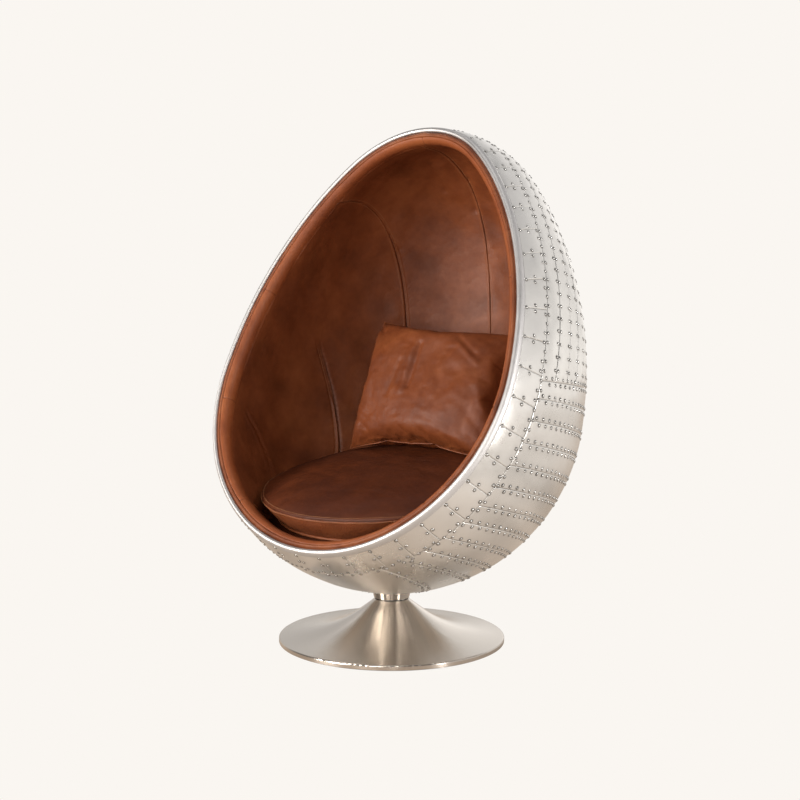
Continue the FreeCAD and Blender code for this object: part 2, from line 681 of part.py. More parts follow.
def rim_plane(i, shift):
    """Plane of a rim seam, moved along the mouth by shift. Its normal runs round the mouth."""
    p, t, n = RAIL[i % RIM_COUNT]
    up = t if t.z >= 0 else t * -1
    m = lean(p.z, p.x)
    back = Vector(0, 1, 0) + up * m
    normal = n.cross(back).normalize()
    if normal.dot(t) < 0:
        normal = normal * -1
    at = world(p.x, -MOUTH, p.z) + EGG.Rotation.multVec(t) * shift
    return at, EGG.Rotation.multVec(normal), EGG.Rotation.multVec(n)


course = clip(skin, [behind(g("shell_edge")), before(L1 - GAP / 2)])
segments = []
for i in range(RIM_COUNT):
    p1, n1, _ = rim_plane(i, GAP / 2)
    p2, n2, out = rim_plane(i + 1, -GAP / 2)
    centre = world(0, -MOUTH, 0) + EGG.Rotation.multVec(Vector(0, 0, (RAIL[i][0].z + RAIL[(i + 1) % RIM_COUNT][0].z) / 2 * 0.6))
    seg = clip(course, [(centre, out * -1), (p1, n1 * -1), (p2, n2)])
    segments.append(seg)
NODES["skin_rim_course"] = put("skin_rim_course", segments)

STRIPS = 6
for i in range(STRIPS):
    a, c = L1 + PITCH * i, L1 + PITCH * (i + 1)
    NODES["skin_strip_%d" % (i + 1)] = put("skin_strip_%d" % (i + 1), [
        clip(skin, [behind(a + GAP / 2), before(c - GAP / 2), above(0, GAP / 2)])])
back_depth = L1 + PITCH * STRIPS
back = clip(skin, [behind(back_depth + GAP / 2), above(0, GAP / 2)])
BACK_X = [-1000.0, -240.0, -120.0, 0.0, 120.0, 240.0, 1000.0]
NODES["skin_back_panels"] = put("skin_back_panels", [
    clip(back, [(Vector(a + GAP / 2, 0, 0), Vector(-1, 0, 0)), (Vector(c - GAP / 2, 0, 0), Vector(1, 0, 0))])
    for a, c in zip(BACK_X, BACK_X[1:])])
lower = clip(skin, [behind(L1 + GAP / 2), below(0, GAP / 2)])
for k in range(BANDS):
    NODES["skin_band_%d" % (k + 1)] = put("skin_band_%d" % (k + 1), [
        clip(lower, [below(k, GAP / 2), above(k + 1, GAP / 2)])])
# four sheets close the bottom, the last two of them round the collar
collar_hole = Part.makeCylinder(48.3, 60, Vector(0, 0, 110))
NODES["skin_bottom_cap"] = put("skin_bottom_cap", [
    clip(lower, [below(k, GAP / 2)] + ([above(k + 1, GAP / 2)] if k + 1 < len(LAT) else [])).cut(collar_hole)
    for k in range(BANDS, len(LAT))])

# ---------------------------------------------------------------- upholstery on the shell
SEAT = Placement(
    Vector(0, g("seat_mid") * math.cos(math.radians(g("seat_tilt"))), g("seat_z") + g("seat_mid") * math.sin(math.radians(g("seat_tilt")))),
    Rotation(Vector(1, 0, 0), g("seat_tilt")))


def seat_plane(z, keep_above):
    n = SEAT.Rotation.multVec(Vector(0, 0, -1 if keep_above else 1))
    return (SEAT.multVec(Vector(0, 0, z)), n)


deck_low = -(g("deck_top") + g("deck_thk"))
foam = clip(E["egg_foam_out"].cut(E["egg_foam_in"]), [behind(35.0), seat_plane(deck_low - 0.4, True)])
foam = foam.cut(rope(g("roll_inset"), g("roll_depth"), g("roll_rad") + 0.6))
NODES["foam_liner"] = put("foam_liner", [foam])
lining = clip(E["egg_lining_out"].cut(E["egg_lining_in"]), [behind(30.5), seat_plane(deck_low - 0.4, True)])
side_x = 245.0
back_part = clip(lining, [(Vector(0, 60, 0), Vector(0, -1, 0))])
front_part = clip(lining, [(Vector(0, 60, 0), Vector(0, 1, 0)), (Vector(0, 0, 420), Vector(0, 0, 1))])
head_part = clip(lining, [(Vector(0, 60, 0), Vector(0, 1, 0)), (Vector(0, 0, 420), Vector(0, 0, -1))])
mid_back = [(Vector(side_x - 0.4, 0, 0), Vector(1, 0, 0)), (Vector(-side_x + 0.4, 0, 0), Vector(-1, 0, 0))]
NODES["lining_back_right"] = put("lining_back_right", [clip(back_part, mid_back[:1] + [(Vector(0.4, 0, 0), Vector(-1, 0, 0))])])
NODES["lining_back_left"] = put("lining_back_left", [clip(back_part, mid_back[1:] + [(Vector(-0.4, 0, 0), Vector(1, 0, 0))])])
NODES["lining_side_right"] = put("lining_side_right", [clip(lining, [(Vector(side_x + 0.4, 0, 0), Vector(-1, 0, 0))])])
NODES["lining_side_left"] = put("lining_side_left", [clip(lining, [(Vector(-side_x - 0.4, 0, 0), Vector(1, 0, 0))])])
apron = clip(front_part, mid_back)
NODES["lining_front_apron"] = put("lining_front_apron", [apron])
print("head part volume (should be small)", clip(head_part, mid_back).Volume)

inner = solid_egg(g("lining_in") + 0.6)
deck = clip(inner, [seat_plane(-g("deck_top"), False), seat_plane(deck_low, True), behind(52.0)])
NODES["seat_deck"] = put("seat_deck", [deck])
bearer = clip(E["egg_foam_out"].cut(solid_egg(72.0)), [seat_plane(deck_low - 0.9, False), seat_plane(deck_low - 29.0, True), behind(35.0)])
NODES["deck_bearer"] = put("deck_bearer", [bearer])

# ---------------------------------------------------------------- seat cushion
def seat_blank(name, less):
    """The cushion before it is trimmed to the bowl: turned about the seat's own axis, with a crowned top."""
    body = new_body(name, SEAT)
    sk = sketch_on(body, name + "_profile", "XZ_Plane")
    R, foot, drop, crown = g("seat_rad") - less, g("seat_foot") - less, g("seat_drop") - less, g("seat_crown") - less
    ball = (R * R + crown * crown) / (2 * crown)
    top, edge, low, foot_p = Vector(0, crown, 0), Vector(R, 0, 0), Vector(0, -drop, 0), Vector(foot, -drop, 0)
    a = math.asin(R / ball) / 2
    sk.addGeometry(Part.Arc(edge, Vector(ball * math.sin(a), crown - ball * (1 - math.cos(a)), 0), top), False)
    sk.addGeometry(Part.LineSegment(top, low), False)
    sk.addGeometry(Part.LineSegment(low, foot_p), False)
    sk.addGeometry(Part.LineSegment(foot_p, edge), False)
    for i in range(4):
        sk.addConstraint(Sketcher.Constraint("Coincident", i, 2, (i + 1) % 4, 1))
    sk.addConstraint(Sketcher.Constraint("PointOnObject", 0, 3, -2))
    sk.addConstraint(Sketcher.Constraint("PointOnObject", 0, 2, -2))
    sk.addConstraint(Sketcher.Constraint("PointOnObject", 1, 2, -2))
    sk.addConstraint(Sketcher.Constraint("PointOnObject", 0, 1, -1))
    less = "(%s)" % repr(float(less))
    for kind, geo, pos, e, v in (
            ("DistanceX", 0, 1, "Params.seat_rad - %s" % less, R),
            ("DistanceY", 0, 2, "Params.seat_crown - %s" % less, crown),
            ("DistanceX", 2, 2, "Params.seat_foot - %s" % less, foot),
            ("DistanceY", 2, 2, "-(Params.seat_drop - %s)" % less, -drop),
            ("DistanceY", 1, 2, "-(Params.seat_drop - %s)" % less, -drop)):
        c = sk.addConstraint(Sketcher.Constraint(kind, -1, 1, geo, pos, v))
        sk.setExpression("Constraints[%d]" % c, e)
    rev = body.newObject("PartDesign::Revolution", name + "_turn")
    rev.Profile = sk
    rev.ReferenceAxis = (sk, ["V_Axis"])
    rev.Angle = 360.0
    body.Tip = rev
    return body


blank = seat_blank("seat_blank", 0.0)
blank_in = seat_blank("seat_blank_inside", g("cover_thk"))
blank_core = seat_blank("seat_blank_core", g("cover_thk") + 0.3)
doc.recompute()
SG = g("seat_gap")
seat_out = blank.Shape.common(solid_egg(SG))
seat_in = blank_in.Shape.common(solid_egg(SG + g("cover_thk")))
seat_core = blank_core.Shape.common(solid_egg(SG + g("cover_thk") + 0.3))
NODES["seat_cushion_cover"] = put("seat_cushion_cover", [seat_out.cut(seat_in)])
NODES["seat_cushion_core"] = put("seat_cushion_core", [seat_core])
# the welt runs round the open front half of the cushion's foot; the bowl closes on the rest
welt = Part.makeTorus(g("seat_foot") + 3.5, 3.0, Vector(0, 0, 0), Vector(0, 0, 1), -180, 180, 176)
welt.Placement = SEAT.multiply(Placement(Vector(0, 0, -g("seat_drop") - 0.6), Rotation(Vector(0, 0, 1), -178.0)))
NODES["seat_cushion_welt"] = put("seat_cushion_welt", [welt])
zip_bar = Part.makeBox(400, 9, 1.8, Vector(-200, 215, -g("seat_drop") - 2.0))
zip_bar.Placement = SEAT.multiply(zip_bar.Placement)
NODES["seat_cushion_zip"] = put("seat_cushion_zip", [zip_bar])

# ---------------------------------------------------------------- back pillow
# leaning back about X, then rolled a little in its own plane
PILLOW = Placement(Vector(12, g("pillow_y"), g("pillow_z")), Rotation(Vector(1, 0, 0), -g("pillow_lean")).multiply(Rotation(Vector(0, 1, 0), g("pillow_roll"))))


def pillow_blank(less):
    w, hgt, t = g("pillow_w") - 2 * less, g("pillow_h") - 2 * less, g("pillow_t") - 2 * less
    ball = g("pillow_ball") - less
    slab = Part.makeBox(w, 300, hgt, Vector(-w / 2, -150, -hgt / 2))
    slab = slab.makeFillet(28.0 - less, [e for e in slab.Edges if abs(e.tangentAt(e.FirstParameter).y) > 0.99])
    slab = slab.common(sphere_at(Vector(0, ball - t / 2, 0), ball)).common(sphere_at(Vector(0, -(ball - t / 2), 0), ball))
    slab.Placement = PILLOW
    return slab


grown = seat_blank("seat_blank_grown", -0.6)
grown_in = seat_blank("seat_blank_grown_more", -(0.6 + g("cover_thk")))
grown_core = seat_blank("seat_blank_grown_most", -(0.9 + g("cover_thk")))
doc.recompute()
pil_out = pillow_blank(0.0).cut(grown.Shape)
pil_in = pillow_blank(g("cover_thk")).cut(grown_in.Shape)
pil_core = pillow_blank(g("cover_thk") + 0.3).cut(grown_core.Shape)
NODES["back_pillow_cover"] = put("back_pillow_cover", [pil_out.cut(pil_in)])
NODES["back_pillow_core"] = put("back_pillow_core", [pil_core])

# ---------------------------------------------------------------- rivets
def rivet():
    """A round-headed rivet, head outwards along +Z, with the skin's surface at Z = 0."""
    a, hgt = g("rivet_head"), g("rivet_high")
    r = (a * a + hgt * hgt) / (2 * hgt)
    t = math.asin(a / r) / 2
    top, edge = Vector(0, 0, hgt), Vector(a, 0, 0)
    arc = Part.Arc(top, Vector(r * math.sin(t), 0, hgt - r + r * math.cos(t)), edge).toShape()
    sh, lg = g("rivet_shank"), g("rivet_long")
    pts = [edge, Vector(sh, 0, 0), Vector(sh, 0, -lg), Vector(0, 0, -lg), top]
    lines = [Part.LineSegment(p, q).toShape() for p, q in zip(pts, pts[1:])]
    return Part.Face(Part.Wire([arc] + lines)).revolve(Vector(0, 0, 0), Vector(0, 0, 1), 360)


ONE = rivet()
ONE = ONE if ONE.ShapeType == "Solid" else ONE.Solids[0]


def on_skin(x, b, s):
    """Moves a rough (x, b, s) straight out from the axis onto the skin."""
    rho = math.hypot(x, b)
    r = radius_at(s)
    return x / rho * r, b / rho * r, s


def place_rivet(p):
    n = normal_at(*p)
    s = ONE.copy()
    s.Placement = Placement(world(*p), Rotation(Vector(0, 0, 1), EGG.Rotation.multVec(n)))
    return s


def depth_curve(depth, low_ok):
    """Points with arc length along the skin at one depth behind the mouth, from the right end over the crown to the left. low_ok(b, s) says what to keep."""
    b = depth - MOUTH
    s_hi = S_T + math.sqrt(g("rad_top") ** 2 - b * b) if abs(b) < g("rad_top") else None
    right = []
    lo, hi = S_B - math.sqrt(max(g("rad_bottom") ** 2 - b * b, 0)), (s_hi if s_hi else S_T)
    n = 1400
    for i in range(n + 1):
        s = lo + (hi - lo) * (1 - math.cos(math.pi * i / n)) / 2
        r = radius_at(s)
        if r >= abs(b) and low_ok(b, s):
            right.append((math.sqrt(max(r * r - b * b, 0)), b, s))
    left = [(-x, bb, s) for x, bb, s in reversed(right)]
    pts = right + left
    run, acc = [0.0], 0.0
    for p, q in zip(pts, pts[1:]):
        acc += math.dist(p, q)
        run.append(acc)
    return pts, run


def at_run(pts, run, want):
    lo, hi = 0, len(run) - 1
    while hi - lo > 1:
        m = (lo + hi) // 2
        if run[m] <= want:
            lo = m
        else:
            hi = m
    f = (want - run[lo]) / max(run[hi] - run[lo], 1e-9)
    p, q = pts[lo], pts[hi]
    t = Vector(q[0] - p[0], q[1] - p[1], q[2] - p[2])
    t = t.normalize() if t.Length > 1e-9 else Vector(0, 0, 1)
    return Vector(p[0] + (q[0] - p[0]) * f, p[1] + (q[1] - p[1]) * f, p[2] + (q[2] - p[2]) * f), t


def stepped(pts, run, margin, pitch):
    total = run[-1] - 2 * margin
    n = max(int(round(total / pitch)), 1)
    for i in range(n + 1):
        yield (i,) + at_run(pts, run, margin + total * i / n)


def beside(p, t, off, along=0.0):
    """A place off the seam by off, square to it on the skin, and along it by along."""
    nrm = normal_at(*on_skin(p.x, p.y, p.z))
    side = t.cross(nrm).normalize()
    q = p + side * off + t * along
    return on_skin(q.x, q.y, q.z)


rim_rivets, strip_rivets, band_rivets = [], [], []
# rim course: one near the bead on the seam, and a pair across it further back
for i in range(RIM_COUNT):
    p, t, n = RAIL[i]
    up = t if t.z >= 0 else t * -1
    m = lean(p.z, p.x)
    for depth, offs in ((15.0, (0.0,)), (42.0, (-8.0, 8.0))):
        for o in offs:
            q = Vector(p.x, -MOUTH + depth, p.z) + up * (m * depth + o)
            lo, hi = -60.0, 120.0
            for _ in range(50):
                mid = (lo + hi) / 2
                r = q + n * mid
                lo, hi = (mid, hi) if math.hypot(r.x, r.y) < radius_at(r.z) else (lo, mid)
            q = q + n * lo
            rim_rivets.append(on_skin(q.x, q.y, q.z))
# the long seam behind the rim course: two pairs, then a single
pts, run = depth_curve(L1, lambda b, s: True)
pts, run = pts[:-1], run[:-1]
loop = run[-1]
count = int(round(loop / 24.0 / 3.0)) * 3
for i in range(count):
    p, t = at_run(pts, run, loop * (i + 0.5) / count)
    if i % 3 == 2:
        rim_rivets.append(beside(p, t, 0.0))
    else:
        rim_rivets.append(beside(p, t, -6.5, -2.5))
        rim_rivets.append(beside(p, t, 6.5, 2.5))


def over_lat0(b, s):
    c, m = lat_plane(0)
    return s > c + m * b + 14.0


for i in range(1, STRIPS + 1):
    pts, run = depth_curve(L1 + PITCH * i, over_lat0)
    for j, p, t in stepped(pts, run, 14.0, 34.0):
        strip_rivets.append(beside(p, t, -6.0, -1.5))
        strip_rivets.append(beside(p, t, 6.0, 1.5))
# upright seams of the back panels
for x in BACK_X[1:-1]:
    col = []
    for i in range(2001):
        s = -150.0 + 780.0 * i / 2000
        if s < S_T + g("rad_top") and radius_at(s) > abs(x):
            b = math.sqrt(radius_at(s) ** 2 - x * x)
            if b > back_depth - MOUTH + 12 and over_lat0(b, s):
                col.append((x, b, s))
    run, acc = [0.0], 0.0
    for p, q in zip(col, col[1:]):
        acc += math.dist(p, q)
        run.append(acc)
    for j, p, t in stepped(col, run, 10.0, 40.0):
        strip_rivets.append(beside(p, t, -6.0, -1.5))
        strip_rivets.append(beside(p, t, 6.0, 1.5))


def lat_curve(k):
    """The k-th cross seam, from the right end round the back to the left."""
    c, m = lat_plane(k)
    pts = []
    for i in range(1601):
        th = math.radians(-90.0 + 360.0 * i / 1600)
        rho = 300.0
        for _ in range(40):
            rho = radius_at(c + m * rho * math.sin(th))
        x, b = rho * math.cos(th), rho * math.sin(th)
        if b > L1 - MOUTH + 10.0:
            pts.append((x, b, c + m * b))
    run, acc = [0.0], 0.0
    for p, q in zip(pts, pts[1:]):
        acc += math.dist(p, q)
        run.append(acc)
    return pts, run


for k in range(len(LAT)):
    pts, run = lat_curve(k)
    for j, p, t in stepped(pts, run, 8.0, 24.0):
        band_rivets.append(beside(p, t, -7.5, 0.0))
        if j < int(round((run[-1] - 16.0) / 24.0)):
            q, t2 = at_run(pts, run, 8.0 + (run[-1] - 16.0) * (j + 0.5) / int(round((run[-1] - 16.0) / 24.0)))
            band_rivets.append(beside(q, t2, 7.5, 0.0))
# two rings round the collar
for ring, count in ((68.0, 18), (92.0, 24)):
    for i in range(count):
        a = 2 * math.pi * i / count
        v = EGG.inverse().multVec(Vector(ring * math.cos(a), ring * math.sin(a), 0) + Vector(0, 0, BOWL.z - math.sqrt(g("rad_bottom") ** 2 - ring ** 2)))
        band_rivets.append(on_skin(v.x, v.y, v.z))
# no two heads closer than their own width
def thinned(pts, others):
    kept = []
    for p in pts:
        if all(math.dist(p, q) > 11.0 for q in kept[-400:]) and all(math.dist(p, q) > 11.0 for q in others):
            kept.append(p)
    return kept


band_rivets = [p for p in band_rivets if math.hypot(*world(*p)[:2]) > 60.0]
rim_rivets = thinned(rim_rivets, [])
strip_rivets = thinned(strip_rivets, rim_rivets)
band_rivets = thinned(band_rivets, rim_rivets + strip_rivets)
print("rivets", len(rim_rivets), len(strip_rivets), len(band_rivets))
for name, places in (("rivets_rim", rim_rivets), ("rivets_strips", strip_rivets), ("rivets_bands", band_rivets)):
    NODES[name] = put(name, [place_rivet(p) for p in places])

# ---------------------------------------------------------------- check and write
doc.recompute()
bad = []
for obj in doc.Objects:
    if "Invalid" in obj.State or "Error" in obj.State:
        bad.append("%s: %s" % (obj.Name, obj.State))
for body in doc.findObjects("PartDesign::Body"):
    for f in body.Group:
        if f.TypeId in ("PartDesign::Pocket", "PartDesign::Groove") and f.AddSubShape.Volume <= 0:
            bad.append("%s cuts nothing" % f.Name)
for name, obj in NODES.items():
    shape = obj.Shape
    if shape.isNull() or not shape.isValid() or not shape.Solids:
        bad.append("%s: bad shape" % name)
    for s in shape.Solids:
        if s.Volume <= 0:
            bad.append("%s: a solid with no volume" % name)
if bad:
    raise RuntimeError("; ".join(bad))
os.makedirs("parts", exist_ok=True)
for name, obj in NODES.items():
    obj.Shape.exportStep("parts/%s.step" % name)
for name, obj in NODES.items():
    bb = obj.Shape.BoundBox
    print("%-22s solids %4d vol %10.1f cm3 x %.0f..%.0f y %.0f..%.0f z %.1f..%.1f" % (
        name, len(obj.Shape.Solids), obj.Shape.Volume / 1000.0, bb.XMin, bb.XMax, bb.YMin, bb.YMax, bb.ZMin, bb.ZMax))
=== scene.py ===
# Pod chair: the looks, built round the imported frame. Metres, Z up, the seat faces -Y.
import json
import math

import bpy
import numpy as np
from mathutils import Matrix, Vector, kdtree

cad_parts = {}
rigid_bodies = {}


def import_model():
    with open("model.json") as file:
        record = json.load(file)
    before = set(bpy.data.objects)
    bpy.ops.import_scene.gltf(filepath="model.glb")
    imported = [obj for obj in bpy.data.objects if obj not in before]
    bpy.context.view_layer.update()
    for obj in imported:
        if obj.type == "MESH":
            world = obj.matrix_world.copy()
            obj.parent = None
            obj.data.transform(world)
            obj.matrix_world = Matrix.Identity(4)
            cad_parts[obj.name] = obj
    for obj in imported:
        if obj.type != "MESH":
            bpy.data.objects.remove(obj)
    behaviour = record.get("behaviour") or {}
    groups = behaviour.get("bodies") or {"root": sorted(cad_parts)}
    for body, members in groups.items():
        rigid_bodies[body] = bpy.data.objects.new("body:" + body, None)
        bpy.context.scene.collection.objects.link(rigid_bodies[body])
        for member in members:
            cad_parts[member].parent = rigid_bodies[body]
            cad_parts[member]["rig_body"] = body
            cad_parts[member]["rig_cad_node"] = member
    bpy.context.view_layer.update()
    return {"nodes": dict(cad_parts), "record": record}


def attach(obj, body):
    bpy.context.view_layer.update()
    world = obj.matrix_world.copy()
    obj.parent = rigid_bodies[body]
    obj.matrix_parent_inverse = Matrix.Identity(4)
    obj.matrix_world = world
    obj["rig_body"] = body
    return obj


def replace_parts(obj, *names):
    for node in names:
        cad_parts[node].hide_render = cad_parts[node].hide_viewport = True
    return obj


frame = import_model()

pi = math.pi
RNG = np.random.RandomState

# ------------------------------------------------------------------ the egg
TILT = math.radians(23.61)
AX = np.array([0.0, math.sin(TILT), math.cos(TILT)])     # along the egg, upwards
BX = np.array([0.0, math.cos(TILT), -math.sin(TILT)])    # into the pod, square to the mouth
XX = np.array([1.0, 0.0, 0.0])
C0 = np.array([0.0, 0.0591, 0.7397])
LEN, RB, RT, RS, MOUTH = 1.249, 0.487, 0.339, 1.073, 0.1789
S_B, S_T = -LEN / 2 + RB, LEN / 2 - RT
_d, _a, _b = S_T - S_B, RS - RB, RS - RT
_x = (_a * _a - _b * _b + _d * _d) / (2 * _d)
S_C, R_C = S_B + _x, -math.sqrt(_a * _a - _x * _x)
UB = np.array([S_B - S_C, -R_C]) / math.hypot(S_B - S_C, R_C)
UT = np.array([S_T - S_C, -R_C]) / math.hypot(S_T - S_C, R_C)
ANG_B, ANG_T = math.atan2(UB[0], UB[1]), math.atan2(UT[0], UT[1])


def rad(s, inset=0.0):
    """The egg's radius at a place along its axis."""
    s = np.asarray(s, float)
    rb, rs, rt = RB - inset, RS - inset, RT - inset
    sb, st = S_B + rb * UB[0], S_T + rt * UT[0]
    lo = np.sqrt(np.maximum(rb ** 2 - (s - S_B) ** 2, 0))
    hi = np.sqrt(np.maximum(rt ** 2 - (s - S_T) ** 2, 0))
    mid = R_C + np.sqrt(np.maximum(rs ** 2 - (s - S_C) ** 2, 0))
    return np.where(s < sb, lo, np.where(s > st, hi, mid))


def to_world(x, b, s):
    x, b, s = np.broadcast_arrays(*[np.asarray(v, float) for v in (x, b, s)])
    return C0 + x[..., None] * XX + b[..., None] * BX + s[..., None] * AX


def to_local(P):
    q = P - C0
    return q[..., 0], q @ BX, q @ AX


def zone(rho, s):
    a = np.arctan2(s - S_C, rho - R_C)
    return a < ANG_B, a > ANG_T


def depth_of(P):
    """How deep below the skin a point lies."""
    x, b, s = to_local(P)
    rho = np.hypot(x, b)
    lo, hi = zone(rho, s)
    return np.where(lo, RB - np.hypot(rho, s - S_B), np.where(hi, RT - np.hypot(rho, s - S_T), RS - np.hypot(rho - R_C, s - S_C)))


def normals(P):
    """Outward normals of the egg at points near its surface."""
    x, b, s = to_local(P)
    rho = np.maximum(np.hypot(x, b), 1e-9)
    lo, hi = zone(rho, s)
    nr = np.where(lo | hi, rho, rho - R_C)
    ns = np.where(lo, s - S_B, np.where(hi, s - S_T, s - S_C))
    n = (x / rho * nr)[..., None] * XX + (b / rho * nr)[..., None] * BX + ns[..., None] * AX
    return n / np.linalg.norm(n, axis=-1, keepdims=True)


def waves(P, lam, seed, n=16):
    """Smooth random ripple of about unit size, with wavelengths near lam."""
    r = RNG(seed)
    d = r.normal(size=(n, 3))
    d /= np.linalg.norm(d, axis=1, keepdims=True)
    k = 2 * pi / (lam * r.uniform(0.7, 1.5, n))
    ph = r.uniform(0, 2 * pi, n)
    flat = P.reshape(-1, 3)
    out = np.zeros(len(flat))
    for i in range(n):
        out += np.cos(flat @ (d[i] * k[i]) + ph[i])
    return (out * math.sqrt(2.0 / n)).reshape(P.shape[:-1])


def smooth01(x):
    x = np.clip(x, 0, 1)
    return x * x * (3 - 2 * x)


# ------------------------------------------------------------------ mesh helpers
def grid_faces(nu, nv, wrap=False, base=0):
    """Quads of a grid of nu x nv points, row major in v."""
    iu = np.arange(nu if wrap else nu - 1)
    iv = np.arange(nv - 1)
    a, b = np.meshgrid(iu, iv, indexing="ij")
    a, b = a.ravel(), b.ravel()
    a2 = (a + 1) % nu
    return np.stack([a * nv + b, a2 * nv + b, a2 * nv + b + 1, a * nv + b + 1], 1) + base


def weld(V, F, tol=2e-5, attrs=None):
    key = np.round(V / tol).astype(np.int64)
    _, first, inv = np.unique(key, axis=0, return_index=True, return_inverse=True)
    inv = inv.ravel()
    return V[first], inv[F], (None if attrs is None else {k: v[first] for k, v in attrs.items()})


def thicken(V, N, F, t, attrs=None):
    """Closes a sheet into a thin solid: V is its face, and the back lies t behind along N."""
    n = len(V)
    V2 = np.vstack([V, V - N * np.reshape(t, (-1, 1) if np.ndim(t) else ())])
    e = np.vstack([np.stack([F[:, i], F[:, (i + 1) % F.shape[1]]], 1) for i in range(F.shape[1])])
    e = e[e[:, 0] != e[:, 1]]
    key, rev = e[:, 0] * n + e[:, 1], e[:, 1] * n + e[:, 0]
    rim = e[~np.isin(key, rev)]
    back = F[:, ::-1] + n
    side = np.stack([rim[:, 1], rim[:, 0], rim[:, 0] + n, rim[:, 1] + n], 1)
    F2 = np.vstack([F, back, side]) if F.shape[1] == 4 else np.vstack([F, back])
    if attrs is not None:
        attrs = {k: np.concatenate([v, v]) for k, v in attrs.items()}
    return V2, F2, attrs


def join(parts):
    """Joins (V, F, attrs) lists."""
    V, F, A, base = [], [], {}, 0
    for v, f, a in parts:
        V.append(v)
        F.append(f + base)
        for k, x in (a or {}).items():
            A.setdefault(k, []).append(x)
        base += len(v)
    return np.vstack(V), np.vstack(F), {k: np.concatenate(x) for k, x in A.items()}


def make(name, V, F, mats, attrs=None, smooth=True, index=None):
    """A mesh object. Repeated corners in a quad make it a triangle."""
    F = np.asarray(F, np.int64)
    rep = np.zeros(len(F), int)
    loops, starts, at, keep_i = [], [], 0, []
    if F.shape[1] == 4:
        same = [(F[:, i] == F[:, (i + 1) % 4]) for i in range(4)]
        bad = np.any(same, axis=0)
        quads = F[~bad]
        qi = None if index is None else index[~bad]
        tris, ti = [], []
        for j in np.where(bad)[0]:
            f = [int(v) for v in F[j]]
            g = [f[i] for i in range(4) if f[i] != f[(i + 1) % 4]]
            if len(g) >= 3 and len(set(g)) == len(g):
                tris.append(g)
                if index is not None:
                    ti.append(index[j])
        lv = quads.ravel()
        ls = np.arange(len(quads)) * 4
        if tris:
            t3 = np.array([t for t in tris if len(t) == 3], np.int64)
            ls = np.concatenate([ls, len(lv) + np.arange(len(t3)) * 3])
            lv = np.concatenate([lv, t3.ravel()])
        mi = None if index is None else np.concatenate([qi, np.array(ti, int)]) if tris else qi
    else:
        lv, ls, mi = F.ravel(), np.arange(len(F)) * F.shape[1], index
    me = bpy.data.meshes.new(name)
    me.vertices.add(len(V))
    me.vertices.foreach_set("co", np.ascontiguousarray(V, np.float32).ravel())
    me.loops.add(len(lv))
    me.loops.foreach_set("vertex_index", lv.astype(np.int32))
    me.polygons.add(len(ls))
    me.polygons.foreach_set("loop_start", ls.astype(np.int32))
    if mi is not None:
        me.polygons.foreach_set("material_index", mi.astype(np.int32))
    me.update(calc_edges=True)
    me.validate()
    for k, v in (attrs or {}).items():
        at = me.attributes.new(k, "FLOAT", "POINT")
        at.data.foreach_set("value", np.ascontiguousarray(v, np.float32))
    if smooth:
        me.polygons.foreach_set("use_smooth", np.ones(len(me.polygons), bool))
    ob = bpy.data.objects.new(name, me)
    bpy.context.scene.collection.objects.link(ob)
    for m in (mats if isinstance(mats, (list, tuple)) else [mats]):
        me.materials.append(m)
    return ob


def hard_edges(ob, degrees=40.0):
    """Keeps edges sharper than this from being smoothed."""
    me = ob.data
    me.set_sharp_from_angle(angle=math.radians(degrees))


# ------------------------------------------------------------------ materials
def new_mat(name):
    m = bpy.data.materials.new(name)
    m.use_nodes = True
    nt = m.node_tree
    nt.nodes.clear()
    out = nt.nodes.new("ShaderNodeOutputMaterial")
    bs = nt.nodes.new("ShaderNodeBsdfPrincipled")
    nt.links.new(bs.outputs[0], out.inputs[0])
    return m, nt, bs


def node(nt, kind, **kw):
    n = nt.nodes.new(kind)
    for k, v in kw.items():
        if k.startswith("_"):
            setattr(n, k[1:], v)
        else:
            n.inputs[k.replace("__", " ")].default_value = v
    return n


def ramp(nt, src, stops):
    r = nt.nodes.new("ShaderNodeValToRGB")
    el = r.color_ramp.elements
    while len(el) < len(stops):
        el.new(0.5)
    for e, (p, c) in zip(el, stops):
        e.position = p
        e.color = tuple(c) + (1.0,) if len(c) == 3 else c
    nt.links.new(src, r.inputs[0])
    return r.outputs[0]


def maprange(nt, src, a, b, c, d):
    m = nt.nodes.new("ShaderNodeMapRange")
    for i, v in zip((1, 2, 3, 4), (a, b, c, d)):
        m.inputs[i].default_value = v
    nt.links.new(src, m.inputs[0])
    return m.outputs[0]


def mathn(nt, op, a, b=None, v=0.5):
    m = nt.nodes.new("ShaderNodeMath")
    m.operation = op
    nt.links.new(a, m.inputs[0])
    if b is None:
        m.inputs[1].default_value = v
    else:
        nt.links.new(b, m.inputs[1])
    return m.outputs[0]


def mixc(nt, fac, a, b, mode="MIX", f=None):
    m = nt.nodes.new("ShaderNodeMix")
    m.data_type = "RGBA"
    m.blend_type = mode
    for sock, v in ((m.inputs[0], fac), (m.inputs[6], a), (m.inputs[7], b)):
        if hasattr(v, "is_output"):
            nt.links.new(v, sock)
        elif isinstance(v, (tuple, list)):
            sock.default_value = tuple(v) + (1.0,) if len(v) == 3 else tuple(v)
        else:
            sock.default_value = v
    return m.outputs[2]


def coords(nt, scale=(1, 1, 1)):
    tc = nt.nodes.new("ShaderNodeTexCoord")
    mp = nt.nodes.new("ShaderNodeMapping")
    mp.inputs["Scale"].default_value = scale
    nt.links.new(tc.outputs["Object"], mp.inputs["Vector"])
    return mp.outputs[0]


def noise_tex(nt, vec, scale, detail=3.0, rough=0.5, dist=0.0):
    n = nt.nodes.new("ShaderNodeTexNoise")
    n.inputs["Scale"].default_value = scale
    n.inputs["Detail"].default_value = detail
    n.inputs["Roughness"].default_value = rough
    n.inputs["Distortion"].default_value = dist
    nt.links.new(vec, n.inputs["Vector"])
    return n.outputs[0]


